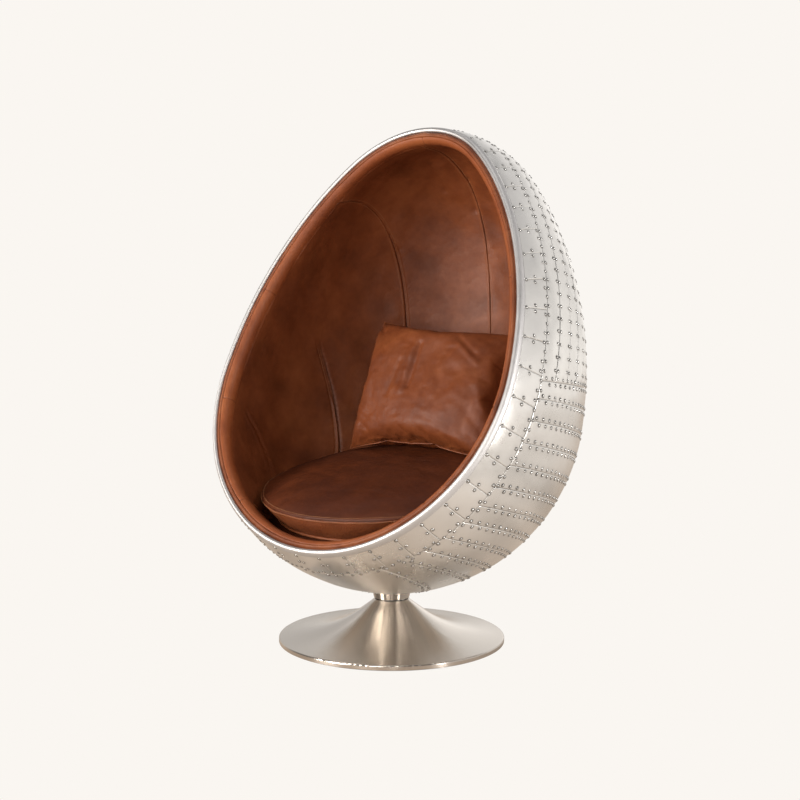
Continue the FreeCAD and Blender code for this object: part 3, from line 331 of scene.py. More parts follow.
def voronoi(nt, vec, scale, feature="F1", rand=1.0):
    n = nt.nodes.new("ShaderNodeTexVoronoi")
    n.feature = feature
    n.inputs["Scale"].default_value = scale
    n.inputs["Randomness"].default_value = rand
    nt.links.new(vec, n.inputs["Vector"])
    return n.outputs[0]


def bump(nt, height, strength, dist, prev=None):
    b = nt.nodes.new("ShaderNodeBump")
    b.inputs["Strength"].default_value = strength
    b.inputs["Distance"].default_value = dist
    nt.links.new(height, b.inputs["Height"])
    if prev is not None:
        nt.links.new(prev, b.inputs["Normal"])
    return b.outputs[0]


def attribute(nt, name):
    a = nt.nodes.new("ShaderNodeAttribute")
    a.attribute_name = name
    return a.outputs["Fac"]


def leather(name, dark, mid, light, grain=760.0, grain_amt=0.35, rough=(0.38, 0.56), pebble=False, spec=0.36, coat=0.05, lumps=0.16):
    """Pull-up leather: cloudy colour, fine grain; a per-vertex attribute lightens rubbed ridges and paints shade into
    seams, grooves and valleys.
    """
    m, nt, bs = new_mat(name)
    vec = coords(nt)
    big = noise_tex(nt, vec, 7.0, 5.0, 0.6, 0.4)
    fine = noise_tex(nt, vec, 55.0, 4.0, 0.6)
    cloud = mathn(nt, "ADD", mathn(nt, "MULTIPLY", big, v=0.72), mathn(nt, "MULTIPLY", fine, v=0.28))
    col = ramp(nt, cloud, [(0.32, dark), (0.5, mid), (0.68, light)])
    wear = attribute(nt, "wear")
    # positive values lighten rubbed ridges; negative values paint shade into seam grooves, valleys and tucked edges
    col = mixc(nt, maprange(nt, wear, 0.0, 1.0, 0.0, 0.65), col, light)
    col = mixc(nt, maprange(nt, wear, 0.0, -1.0, 0.0, 0.8), col, tuple(v * 0.35 for v in dark))
    pores = voronoi(nt, vec, grain, "DISTANCE_TO_EDGE")
    col = mixc(nt, maprange(nt, pores, 0.0, 0.12, 0.22 if not pebble else 0.5, 0.0), col, tuple(v * 0.4 for v in dark))
    nt.links.new(col, bs.inputs["Base Color"])
    rr = maprange(nt, cloud, 0.3, 0.7, rough[1], rough[0])
    nt.links.new(rr, bs.inputs["Roughness"])
    h1 = maprange(nt, pores, 0.0, 0.25, 0.0, 1.0)
    b1 = bump(nt, h1, grain_amt if not pebble else 0.9, 0.0004 if not pebble else 0.0011)
    wr = noise_tex(nt, vec, 130.0, 5.0, 0.65, 0.6)
    b2 = bump(nt, wr, 0.28, 0.0010, b1)
    lump = noise_tex(nt, vec, 22.0, 3.0, 0.5)
    b3 = bump(nt, lump, lumps, 0.004, b2)
    nt.links.new(b3, bs.inputs["Normal"])
    bs.inputs["Specular IOR Level"].default_value = spec
    bs.inputs["Coat Weight"].default_value = coat
    bs.inputs["Coat Roughness"].default_value = 0.35
    return m


def metal(name, base, rough, cloud=0.10, streak=(30.0, 30.0, 420.0), streak_amt=0.12, aniso=0.0, tangent=False, grime=0.0, tint=None, cloud_scale=5.0, bump_amt=0.05):
    m, nt, bs = new_mat(name)
    vec = coords(nt)
    big = noise_tex(nt, vec, cloud_scale, 5.0, 0.62, 0.5)
    mid = noise_tex(nt, vec, 38.0, 4.0, 0.6)
    st = noise_tex(nt, coords(nt, streak), 1.0, 6.0, 0.7)
    tone = attribute(nt, "tone")
    c = mixc(nt, maprange(nt, big, 0.3, 0.7, 0.0, 1.0), tuple(v * (1 - cloud) for v in base), tuple(min(v * (1 + cloud * 0.6), 0.98) for v in (tint or base)))
    c = mixc(nt, maprange(nt, tone, -1.0, 1.0, 0.22, 0.0), c, tuple(v * 0.62 for v in base))
    if grime:
        g = noise_tex(nt, vec, 16.0, 6.0, 0.7, 1.0)
        c = mixc(nt, maprange(nt, g, 0.52, 0.8, 0.0, grime), c, (0.36, 0.33, 0.29))
    # darkened at sheet edges, round rivets and at the bead's joint: partly grime, partly painted shade in the seams and
    # at the rivets' feet
    dirt = attribute(nt, "dirt")
    c = mixc(nt, maprange(nt, dirt, 0.0, 1.0, 0.0, 0.75), c, (0.16, 0.15, 0.14))
    nt.links.new(c, bs.inputs["Base Color"])
    bs.inputs["Metallic"].default_value = 1.0
    r = maprange(nt, mathn(nt, "ADD", mathn(nt, "MULTIPLY", big, v=0.5), mathn(nt, "MULTIPLY", mid, v=0.5)), 0.35, 0.65, rough[0], rough[1])
    r = mathn(nt, "ADD", r, mathn(nt, "MULTIPLY", mathn(nt, "SUBTRACT", st, v=0.5), v=streak_amt))
    r = mathn(nt, "ADD", r, mathn(nt, "MULTIPLY", tone, v=0.035))
    nt.links.new(r, bs.inputs["Roughness"])
    b1 = bump(nt, st, bump_amt, 0.0004)
    b2 = bump(nt, mid, bump_amt * 2.0, 0.0014, b1)
    nt.links.new(b2, bs.inputs["Normal"])
    if aniso:
        bs.inputs["Anisotropic"].default_value = aniso
        tg = nt.nodes.new("ShaderNodeTangent")
        tg.direction_type = "RADIAL"
        tg.axis = "Z"
        nt.links.new(tg.outputs[0], bs.inputs["Tangent"])
        bs.inputs["Anisotropic Rotation"].default_value = 0.25
    return m


def plain(name, a, b, rough=0.6, scale=60.0, bump_amt=0.2, metallic=0.0, dist=0.0006):
    """A simple mottled procedural finish for hidden pieces."""
    m, nt, bs = new_mat(name)
    vec = coords(nt)
    n = noise_tex(nt, vec, scale, 5.0, 0.6)
    nt.links.new(ramp(nt, n, [(0.35, a), (0.65, b)]), bs.inputs["Base Color"])
    nt.links.new(maprange(nt, n, 0.3, 0.7, rough + 0.08, rough - 0.08), bs.inputs["Roughness"])
    bs.inputs["Metallic"].default_value = metallic
    nt.links.new(bump(nt, noise_tex(nt, vec, scale * 5, 3.0), bump_amt, dist), bs.inputs["Normal"])
    return m


def wood(name):
    m, nt, bs = new_mat(name)
    vec = coords(nt, (6.0, 60.0, 60.0))
    n = noise_tex(nt, vec, 1.5, 6.0, 0.65, 1.2)
    nt.links.new(ramp(nt, n, [(0.3, (0.33, 0.2, 0.1)), (0.55, (0.52, 0.36, 0.2)), (0.75, (0.6, 0.44, 0.27))]), bs.inputs["Base Color"])
    bs.inputs["Roughness"].default_value = 0.62
    nt.links.new(bump(nt, n, 0.25, 0.0006), bs.inputs["Normal"])
    return m


DARK, MID, LIGHT = (0.150, 0.036, 0.0100), (0.215, 0.056, 0.0165), (0.285, 0.083, 0.0270)
M_LINING = leather("leather_lining", DARK, MID, LIGHT)
# the seat's leather is the lining's, made much darker as painted shade on the seat top
M_SEAT_SHADED = leather("leather_seat_painted_shade", (0.070, 0.0145, 0.0042), (0.092, 0.0205, 0.0056), (0.140, 0.034, 0.0102), lumps=0.10)
M_BOXING = leather("leather_pebbled", (0.185, 0.046, 0.0135), (0.265, 0.072, 0.0225), (0.34, 0.104, 0.035), grain=190.0, pebble=True, rough=(0.4, 0.55))
M_PILLOW = leather("leather_pillow", (0.138, 0.031, 0.0080), (0.195, 0.048, 0.0130), (0.262, 0.075, 0.0235), rough=(0.42, 0.58), spec=0.30, lumps=0.10)
# the lip's leather is the lining's, made lighter as painted light on the lip's edge
M_ROLL_LIT = leather("leather_lip_painted_light", (0.205, 0.049, 0.0138), (0.290, 0.075, 0.0225), (0.375, 0.112, 0.037))
M_PIPING = leather("leather_cord", (0.150, 0.036, 0.011), (0.215, 0.057, 0.018), (0.33, 0.105, 0.038), grain=1100.0)
# deck leather darkened as painted shade under the cushion
M_DECK_SHADED = leather("leather_deck_painted_shade", (0.050, 0.012, 0.0035), (0.075, 0.018, 0.0052), (0.110, 0.028, 0.0085))
M_THREAD = plain("thread_tan", (0.34, 0.15, 0.065), (0.45, 0.22, 0.1), 0.55, 900.0, 0.3)
M_THREAD_DARK = plain("thread_brown", (0.10, 0.035, 0.016), (0.16, 0.06, 0.026), 0.55, 900.0, 0.3)
M_SKIN = metal("aluminium_sheet", (0.86, 0.835, 0.80), (0.25, 0.37), cloud=0.05, grime=0.05, streak_amt=0.06, bump_amt=0.03)
M_BEAD = metal("aluminium_bead", (0.72, 0.70, 0.69), (0.48, 0.56), cloud=0.05, streak_amt=0.04, cloud_scale=9.0)
M_RIVET = metal("rivet_head_metal", (0.56, 0.545, 0.525), (0.15, 0.24), cloud=0.05, streak_amt=0.02, cloud_scale=30.0)
# dark ring round each rivet head: grime with painted shade at the head's foot
M_RIVET_RING = metal("rivet_ring_grime_and_shade", (0.20, 0.19, 0.178), (0.45, 0.6), cloud=0.2, streak_amt=0.02, cloud_scale=60.0)
M_NICKEL = metal("brushed_nickel", (0.64, 0.585, 0.525), (0.23, 0.27), cloud=0.03, streak=(3.0, 3.0, 700.0), streak_amt=0.05, aniso=0.85, tangent=True, cloud_scale=2.0, bump_amt=0.0025)
SLOT_MAT = {
    "base_nickel": M_NICKEL, "skin_aluminium": M_SKIN, "bead_aluminium": M_BEAD, "rivet_aluminium": M_RIVET,
    "leather": M_LINING, "leather_piping": M_PIPING,
    "ballast_iron": plain("cast_iron_black", (0.03, 0.03, 0.032), (0.07, 0.07, 0.07), 0.6, 90.0, 0.5, 0.6),
    "zinc_steel": plain("zinc_plate", (0.42, 0.43, 0.44), (0.58, 0.58, 0.56), 0.38, 40.0, 0.1, 1.0),
    "fastener_steel": plain("bright_steel", (0.5, 0.5, 0.5), (0.66, 0.66, 0.65), 0.3, 80.0, 0.1, 1.0),
    "floor_rubber": plain("floor_rubber_black", (0.012, 0.012, 0.012), (0.03, 0.03, 0.03), 0.75, 120.0, 0.4),
    "bush_polymer": plain("bush_acetal", (0.7, 0.69, 0.64), (0.8, 0.79, 0.74), 0.45, 80.0, 0.1),
    "plywood": wood("birch_ply"),
    # the shell under the sheets is near black so the hairline gaps between sheets read as dark seams: painted shade
    "shell_composite": plain("shell_dark_painted_seam_shade", (0.035, 0.034, 0.032), (0.075, 0.073, 0.068), 0.6, 45.0, 0.3),
    "foam": plain("upholstery_foam", (0.72, 0.62, 0.36), (0.82, 0.74, 0.5), 0.95, 300.0, 0.9, 0.0, 0.0015),
    "zip_polymer": plain("zip_tape", (0.05, 0.025, 0.014), (0.09, 0.045, 0.025), 0.6, 600.0, 0.5),
}
for sub in frame["record"]["subparts"]:
    ob = frame["nodes"].get(sub["node"])
    if ob is not None and sub["material_slot"] in SLOT_MAT:
        ob.data.materials.clear()
        # the deck's face under the loose cushion is covered in leather, made very dark as painted shade under the
        # cushion
        ob.data.materials.append(M_DECK_SHADED if sub["node"] == "seat_deck" else SLOT_MAT[sub["material_slot"]])

# ------------------------------------------------------------------ rivets, read from the frame
def islands(ob):
    """Centre of each separate solid of a node."""
    me = ob.data
    n = len(me.vertices)
    co = np.empty(n * 3, np.float32)
    me.vertices.foreach_get("co", co)
    co = co.reshape(-1, 3).astype(float)
    ed = np.empty(len(me.edges) * 2, np.int32)
    me.edges.foreach_get("vertices", ed)
    ed = ed.reshape(-1, 2)
    key = np.round(co / 2e-6).astype(np.int64)
    _, inv = np.unique(key, axis=0, return_inverse=True)
    inv = inv.ravel()
    e = inv[ed]
    lab = np.arange(inv.max() + 1)
    while True:
        new = lab.copy()
        np.minimum.at(new, e[:, 0], lab[e[:, 1]])
        np.minimum.at(new, e[:, 1], lab[e[:, 0]])
        new = new[new]
        if (new == lab).all():
            break
        lab = new
    ids, which = np.unique(lab[inv], return_inverse=True)
    which = which.ravel()
    cnt = np.bincount(which)
    return np.stack([np.bincount(which, co[:, i]) / cnt for i in range(3)], 1)


def snap_to_skin(P):
    for _ in range(3):
        P = P + normals(P) * depth_of(P)[:, None]
    return P


RIVETS = {k: snap_to_skin(islands(frame["nodes"][k])) for k in ("rivets_rim", "rivets_strips", "rivets_bands")}
ALL_RIVETS = np.vstack(list(RIVETS.values()))
TREE = kdtree.KDTree(len(ALL_RIVETS))
for i, p in enumerate(ALL_RIVETS):
    TREE.insert(p, i)
TREE.balance()


def rivet_distance(P):
    flat = P.reshape(-1, 3)
    return np.array([TREE.find(p)[2] for p in flat]).reshape(P.shape[:-1])


# ------------------------------------------------------------------ sheet skin
def skin_sheet(P, edge, seed, F=None, lift=0.0):
    """A sheet from a grid of points (nu, nv, 3) on the skin. edge is the distance to its nearest edge."""
    nu, nv = P.shape[:2]
    N = normals(P)
    r = RNG(seed)
    e = smooth01(edge / 0.022)
    amp = r.uniform(0.00022, 0.00044)
    d = waves(P, 0.095, seed + 1) * amp * (0.25 + 0.75 * e)
    d += waves(P, 0.036, seed + 2) * 0.00004 * e
    d += r.uniform(0.0001, 0.0003) * e
    d += lift
    rd = rivet_distance(P)
    d -= 0.00034 * np.exp(-(rd / 0.0062) ** 2)
    d -= 0.00004 * np.exp(-(edge / 0.0018) ** 2)
    V = (P + N * d[..., None]).reshape(-1, 3)
    tone = np.full(len(V), r.uniform(-1, 1)) + 0.25 * waves(P, 0.12, seed + 5).ravel()
    # darker along the sheet's edges and round each rivet: grime and painted shade together
    dirt = 0.05 * np.exp(-(edge.ravel() / 0.0014) ** 2) + 0.22 * np.exp(-(rd.ravel() / 0.0062) ** 2)
    F = grid_faces(nu, nv)
    # outward facing
    a, b, c = V[F[len(F) // 2, 0]], V[F[len(F) // 2, 1]], V[F[len(F) // 2, 2]]
    if np.dot(np.cross(b - a, c - b), N.reshape(-1, 3)[F[len(F) // 2, 0]]) < 0:
        F = F[:, ::-1]
    at = {"tone": np.clip(tone, -1, 1), "dirt": np.clip(dirt, 0, 1)}
    Vw, Fw, at = weld(V, F, 2e-5, at)
    Nw = normals(Vw)
    return thicken(Vw, Nw, Fw, 0.0012, at)


def spaced(pts, n):
    """Resamples a polyline (k, 3) at n equal steps."""
    d = np.concatenate([[0], np.cumsum(np.linalg.norm(np.diff(pts, axis=0), axis=1))])
    t = np.linspace(0, d[-1], n)
    return np.stack([np.interp(t, d, pts[:, i]) for i in range(pts.shape[1])], 1), d[-1]


def grid_edges(P):
    """Distance of each grid point to the grid's nearest edge, along the grid."""
    du = np.linalg.norm(np.diff(P, axis=0), axis=2)
    dv = np.linalg.norm(np.diff(P, axis=1), axis=2)
    z = np.zeros((1, P.shape[1]))
    cu = np.vstack([z, np.cumsum(du, axis=0)])
    z = np.zeros((P.shape[0], 1))
    cv = np.hstack([z, np.cumsum(dv, axis=1)])
    return np.minimum(np.minimum(cu, cu[-1:] - cu), np.minimum(cv, cv[:, -1:] - cv))


def graded(n, edge=0.18):
    """0..1 with closer steps near both ends."""
    t = np.linspace(0, 1, n)
    return t - edge * np.sin(2 * pi * t) / (2 * pi) * 2


# the mouth's rail: position, tangent and outward normal in (x, s), by arc length
def level_curve(b, inset=0.0, n=4000):
    """Right half of the egg's outline in the plane at b, from the lowest point to the highest, as (x, s)."""
    lo = S_B - math.sqrt((RB - inset) ** 2 - b * b)
    hi = S_T + math.sqrt((RT - inset) ** 2 - b * b) if abs(b) < RT - inset else None
    if hi is None:
        a, c = S_T - 0.2, S_T + RT - inset
        for _ in range(60):
            m = (a + c) / 2
            if rad(m, inset) > abs(b):
                a = m
            else:
                c = m
        hi = a
    s = lo + (hi - lo) * (1 - np.cos(pi * np.linspace(0, 1, n))) / 2
    x = np.sqrt(np.maximum(rad(s, inset) ** 2 - b * b, 0))
    x[0] = x[-1] = 0.0
    return x, s


def closed_curve(b, inset, n):
    """Whole outline at b, from the lowest point round by +X, as n equal steps: points, tangents, outward normals in (x, s)."""
    x, s = level_curve(b, inset)
    pts = np.vstack([np.stack([x, s], 1), np.stack([-x[::-1][1:], s[::-1][1:]], 1)])
    d = np.concatenate([[0], np.cumsum(np.linalg.norm(np.diff(pts, axis=0), axis=1))])
    t = np.arange(n) / n * d[-1]
    p = np.stack([np.interp(t, d, pts[:, i]) for i in range(2)], 1)
    tg = np.roll(p, -1, 0) - np.roll(p, 1, 0)
    tg /= np.linalg.norm(tg, axis=1, keepdims=True)
    return p, tg, np.stack([tg[:, 1], -tg[:, 0]], 1), d[-1]


RIM_COUNT = 46
RAIL_N = RIM_COUNT * 240
RAIL_P, RAIL_T, RAIL_O, RAIL_LEN = closed_curve(-MOUTH, 0.0, RAIL_N)


def lean(s, x):
    m = 0.5 * np.clip((s + 0.120) / 0.240, 0, 1)
    return np.where(s > 0.380, m * np.minimum(np.abs(x) / 0.260, 1.0), m)


RAIL_UP = np.where(RAIL_T[:, 1:2] >= 0, RAIL_T, -RAIL_T)
RAIL_SHIFT = RAIL_UP * lean(RAIL_P[:, 1], RAIL_P[:, 0])[:, None]


def rim_point(w, depth):
    """Place on the skin at a fraction w round the mouth and a depth behind it, following the leaning seams."""
    i = np.mod(w, 1.0) * RAIL_N
    i0 = np.floor(i).astype(int) % RAIL_N
    i1 = (i0 + 1) % RAIL_N
    f = (i - np.floor(i))[..., None]
    p = RAIL_P[i0] * (1 - f) + RAIL_P[i1] * f
    o = RAIL_O[i0] * (1 - f) + RAIL_O[i1] * f
    q = RAIL_SHIFT[i0] * (1 - f) + RAIL_SHIFT[i1] * f
    b = depth - MOUTH
    base = p + q * depth[..., None]
    lo, hi = np.full(w.shape, -0.08), np.full(w.shape, 0.12)
    for _ in range(36):
        m = (lo + hi) / 2
        z = base + o * m[..., None]
        inside = np.hypot(z[..., 0], b) < rad(z[..., 1])
        lo = np.where(inside, m, lo)
        hi = np.where(inside, hi, m)
    z = base + o * ((lo + hi) / 2)[..., None]
    return to_world(z[..., 0], b, z[..., 1])


GAP = 0.0001
L1 = 0.082
PITCH = 0.0525
STRIPS = 6
parts = []
for i in range(RIM_COUNT):
    nu, nv = 17, 18
    g = GAP / 2 / RAIL_LEN
    w = (i + 0.5) / RIM_COUNT + g + (1.0 / RIM_COUNT - 2 * g) * graded(nu)
    dp = 0.0086 + (L1 - GAP / 2 - 0.0086) * graded(nv)
    W, D = np.meshgrid(w, dp, indexing="ij")
    P = rim_point(W, D)
    parts.append(skin_sheet(P, grid_edges(P), 100 + i, lift=0.00025 * (i % 2)))
V, F, A = join(parts)
rim_course = make("sheet_rim_course", V, F, M_SKIN, A)
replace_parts(rim_course, "skin_rim_course")

LAT = [(-0.113, 0.33), (-0.156, 0.275), (-0.209, 0.245), (-0.262, 0.225), (-0.316, 0.205),
       (-0.369, 0.195), (-0.415, 0.178), (-0.456, 0.158), (-0.496, 0.140),
       (-0.531, 0.120), (-0.5615, 0.107), (-0.585, 0.0044)]
BANDS = 8
LAT = [(s0 + m * 0.1, m) for s0, m in LAT]


def strip_row(b, n, c, m, gap):
    s_a = c + m * b + gap
    x, s = level_curve(b)
    keep = s > s_a
    x0 = math.sqrt(max(float(rad(s_a)) ** 2 - b * b, 0))
    x, s = np.concatenate([[x0], x[keep]]), np.concatenate([[s_a], s[keep]])
    pts = np.vstack([np.stack([x, s], 1), np.stack([-x[::-1][1:], s[::-1][1:]], 1)])
    q, _ = spaced(pts, n)
    return to_world(q[:, 0], b, q[:, 1])


for k in range(STRIPS):
    a, z = L1 + PITCH * k + GAP / 2, L1 + PITCH * (k + 1) - GAP / 2
    rows = [strip_row(d - MOUTH, 460, LAT[0][0], LAT[0][1], GAP / 2 * math.hypot(1, LAT[0][1])) for d in a + (z - a) * graded(13)]
    P = np.stack(rows, 1)
    V, F, A = skin_sheet(P, grid_edges(P), 300 + k, lift=0.0002 * (k % 2))
    # broad tone changes along the strip, as if cut from several sheets
    ob = make("sheet_strip_%d" % (k + 1), V, F, M_SKIN, A)
    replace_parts(ob, "skin_strip_%d" % (k + 1))

BD = L1 + PITCH * STRIPS - MOUTH
parts = []
c0, m0 = LAT[0]
s_c = c0 + m0 * (BD + GAP / 2)
X_MAX = math.sqrt(float(rad(s_c)) ** 2 - (BD + GAP / 2) ** 2)


def back_column(x, n):
    """Column of the back at one x, from the first cross seam up to where it meets the last strip."""
    g = GAP / 2 * math.hypot(1, m0)
    s = np.linspace(-0.25, LEN / 2 - 1e-4, 3000)
    b = np.sqrt(np.maximum(rad(s) ** 2 - x * x, 0))
    ok = (b > BD + GAP / 2) & (s > c0 + m0 * b + g)
    if ok.sum() < 2:
        p = to_world(x, BD + GAP / 2, s_c + g)
        return np.repeat(p[None], n, 0)
    s1, b1 = s[ok], b[ok]
    q, _ = spaced(np.stack([b1, s1], 1), n)
    return to_world(x, q[:, 0], q[:, 1])


for j, (xa, xz) in enumerate(((-X_MAX, -0.240), (-0.240, -0.120), (-0.120, 0.0), (0.0, 0.120), (0.120, 0.240), (0.240, X_MAX))):
    t = np.linspace(0, 1, 34 if j in (0, 5) else 28)
    if j == 5:
        xs = xa + GAP / 2 + (xz - xa - GAP / 2) * np.sin(t * pi / 2)
    elif j == 0:
        xs = -(0.240 + GAP / 2 + (X_MAX - 0.240 - GAP / 2) * np.sin(t[::-1] * pi / 2))
    else:
        xs = xa + GAP / 2 + (xz - xa - GAP) * graded(len(t))
    P = np.stack([back_column(x, 110) for x in xs], 0)
    parts.append(skin_sheet(P, grid_edges(P), 400 + j, lift=0.0002 * (j % 2)))
V, F, A = join(parts)
back_panels = make("sheet_back_panels", V, F, M_SKIN, A)
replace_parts(back_panels, "skin_back_panels")


def band_row(c, m, n):
    b1 = L1 + GAP / 2 - MOUTH
    s = c + m * b1
    x = math.sqrt(float(rad(s)) ** 2 - b1 * b1)
    th0 = math.atan2(b1, x)
    th = np.linspace(th0, pi - th0, 1400)
    rho = np.full(th.shape, 0.4)
    for _ in range(60):
        rho = rad(c + m * rho * np.sin(th))
    pts = np.stack([rho * np.cos(th), rho * np.sin(th), c + m * rho * np.sin(th)], 1)
    q, _ = spaced(pts, n)
    return to_world(q[:, 0], q[:, 1], q[:, 2])


cap_parts = []
for k in range(BANDS + 2):
    (ca, ma), (cz, mz) = LAT[k], LAT[k + 1]
    ca, cz = ca - GAP / 2 * math.hypot(1, ma), cz + GAP / 2 * math.hypot(1, mz)
    n = [380, 380, 370, 360, 350, 330, 310, 290, 270, 250][k]
    rows = [band_row(ca + (cz - ca) * f, ma + (mz - ma) * f, n) for f in graded(12)]
    P = np.stack(rows, 1)
    V, F, A = skin_sheet(P, grid_edges(P), 500 + k, lift=0.0002 * (k % 2))
    if k < BANDS:
        ob = make("sheet_band_%d" % (k + 1), V, F, M_SKIN, A)
        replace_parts(ob, "skin_band_%d" % (k + 1))
    else:
        cap_parts.append((V, F, A))

# the two lowest sheets, round the collar
BOWL = to_world(0.0, 0.0, S_B)


def bowl_at(phi, r):
    x, y = r * np.cos(phi), r * np.sin(phi)
    z = BOWL[2] - np.sqrt(RB ** 2 - x ** 2 - (y - BOWL[1]) ** 2)
    return np.stack([x, y, z], -1)


def reach(phi, test):
    """How far out from the collar each direction goes before the test fails."""
    lo, hi = np.full(phi.shape, 0.0484), np.full(phi.shape, 0.47)
    for _ in range(50):
        m = (lo + hi) / 2
        ok = test(bowl_at(phi, m))
        lo, hi = np.where(ok, m, lo), np.where(ok, hi, m)
    return lo


def plane_test(k, gap, under):
    c, m_ = LAT[k]
    c = c - gap * math.hypot(1, m_)

    def test(P):
        x, b, s = to_local(P)
        ok = (s < c + m_ * b) if under else (s > c + m_ * b)
        return ok & (b > L1 + GAP / 2 - MOUTH)
    return test


phi = np.linspace(-pi / 2, 1.5 * pi, 900)
r_low = reach(phi, plane_test(11, GAP / 2, True))          # front sheet, from the collar to the last seam
r_out = reach(phi, plane_test(10, GAP / 2, True))
in_front = plane_test(11, GAP / 2, True)(bowl_at(phi, np.full(phi.shape, 0.0487)))
for part_k in (0, 1):
    if part_k == 0:
        sel = np.where(in_front & (r_low > 0.0490))[0]
        # the front half is centred on -Y, which is where phi starts, so it is rolled to be one run
        order = np.concatenate([sel[phi[sel] > pi / 2], sel[phi[sel] <= pi / 2]])
        a_, z_ = np.full(len(order), 0.0484), r_low[order]
    else:
        order = np.where(r_out > np.where(in_front, r_low, 0.0484) + 0.0016)[0]
        a_ = np.where(in_front[order], r_low[order] + GAP, 0.0484)
        z_ = r_out[order]
    cols = 40
    rr = a_[:, None] + (z_ - a_)[:, None] * np.linspace(0, 1, cols)[None, :]
    P = bowl_at(np.repeat(phi[order][:, None], cols, 1), rr)
    edge = np.minimum(np.abs(rr[:, -1:] - rr), np.abs(rr - rr[:, :1]) + (0.02 if part_k == 0 else 0.0))
    cap_parts.append(skin_sheet(P, edge, 600 + part_k))
V, F, A = join(cap_parts)
cap = make("sheet_bottom_cap", V, F, M_SKIN, A)
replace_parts(cap, "skin_bottom_cap")

# ------------------------------------------------------------------ rivet heads
def dome(r, h, skirt, n=14):
    """Profile of a domed head with a flat dark ring round it, painting grime and the shade at the head's foot: rings of
    (radius, height).
    """
    ball = (r * r + h * h) / (2 * h)
    a = math.asin(min(r / ball, 1))
    prof = [(ball * math.sin(a * t), h - ball * (1 - math.cos(a * t))) for t in (0.0, 0.35, 0.65, 0.88)]
    prof += [(r, 0.25e-3), (r + 0.0001, -0.0006)]
    ring = np.arange(n) * 2 * pi / n
    V, F, mi = [(0, 0, prof[0][1])], [], []
    rings = prof[1:]
    for pr, pz in rings:
        for t in ring:
            V.append((pr * math.cos(t), pr * math.sin(t), pz))
    for i in range(n):
        F.append((0, 1 + i, 1 + (i + 1) % n, 0))
        mi.append(0)
    for k in range(len(rings) - 1):
        for i in range(n):
            a0, a1 = 1 + k * n + i, 1 + k * n + (i + 1) % n
            F.append((a0, a0 + n, a1 + n, a1))
            mi.append(0)
    base = 1 + (len(rings) - 1) * n
    V.append((0, 0, rings[-1][1]))
    for i in range(n):
        F.append((base + i, len(V) - 1, base + (i + 1) % n, base + i))
        mi.append(0)
    # the dark ring round the head, painting grime and the shade at its foot
    s0 = len(V)
    for pr, pz in ((r * 0.8, 0.00012), (skirt, 0.00006), (skirt + 0.0002, -0.0006), (r * 0.8, -0.0006)):
        for t in ring:
            V.append((pr * math.cos(t), pr * math.sin(t), pz))
    for k in range(4):
        for i in range(n):
            a0, a1 = s0 + k * n + i, s0 + k * n + (i + 1) % n
            b0, b1 = s0 + ((k + 1) % 4) * n + i, s0 + ((k + 1) % 4) * n + (i + 1) % n
            F.append((a0, b0, b1, a1))
            mi.append(1)
    return np.array(V), np.array(F), np.array(mi)


DV, DF, DM = dome(0.0034, 0.0023, 0.0046)
for name, P in RIVETS.items():
    r = RNG(len(P))
    N = normals(P)
    T = np.cross(N, np.array([0.3, 0.1, 1.0]))
    T /= np.linalg.norm(T, axis=1, keepdims=True)
    # heads sit a little askew and sink a little into the dimpled sheet
    N2 = N + T * r.normal(0, 0.045, (len(P), 1)) + np.cross(N, T) * r.normal(0, 0.045, (len(P), 1))
    N2 /= np.linalg.norm(N2, axis=1, keepdims=True)
    T = T - N2 * np.sum(T * N2, axis=1, keepdims=True)
    T /= np.linalg.norm(T, axis=1, keepdims=True)
    U = np.cross(N2, T)
    sc = r.uniform(0.94, 1.05, len(P))
    off = r.uniform(-0.0001, 0.00025, len(P)) + 0.0001
    V = (P + N * off[:, None])[:, None, :] + sc[:, None, None] * (DV[None, :, 0:1] * T[:, None, :] + DV[None, :, 1:2] * U[:, None, :] + DV[None, :, 2:3] * N2[:, None, :])
    nv = len(DV)
    F = (DF[None] + (np.arange(len(P)) * nv)[:, None, None]).reshape(-1, 4)
    mi = np.tile(DM, len(P))
    tone = np.repeat(r.uniform(-1, 1, len(P)), nv)
    ob = make("heads_" + name, V.reshape(-1, 3), F, [M_RIVET, M_RIVET_RING], {"tone": tone, "dirt": np.zeros(len(tone))}, index=mi)
    hard_edges(ob, 50)
    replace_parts(ob, name)


# ------------------------------------------------------------------ mouth trim
def mouth_frame(inset, depth, n):
    """Stations round the mouth: centre, tangent, the skin's outward direction and the direction back along the skin, in world axes."""
    b = depth - MOUTH
    p, t, o, length = closed_curve(b, inset, n)
    P = to_world(p[:, 0], np.full(n, b), p[:, 1])
    N = normals(P)
    T = t[:, :1] * XX + t[:, 1:] * AX
    E2 = np.cross(T, N)
    E2 /= np.linalg.norm(E2, axis=1, keepdims=True)
    if np.mean(E2 @ BX) < 0:
        E2 = -E2
    return P, T, N, E2, p, length


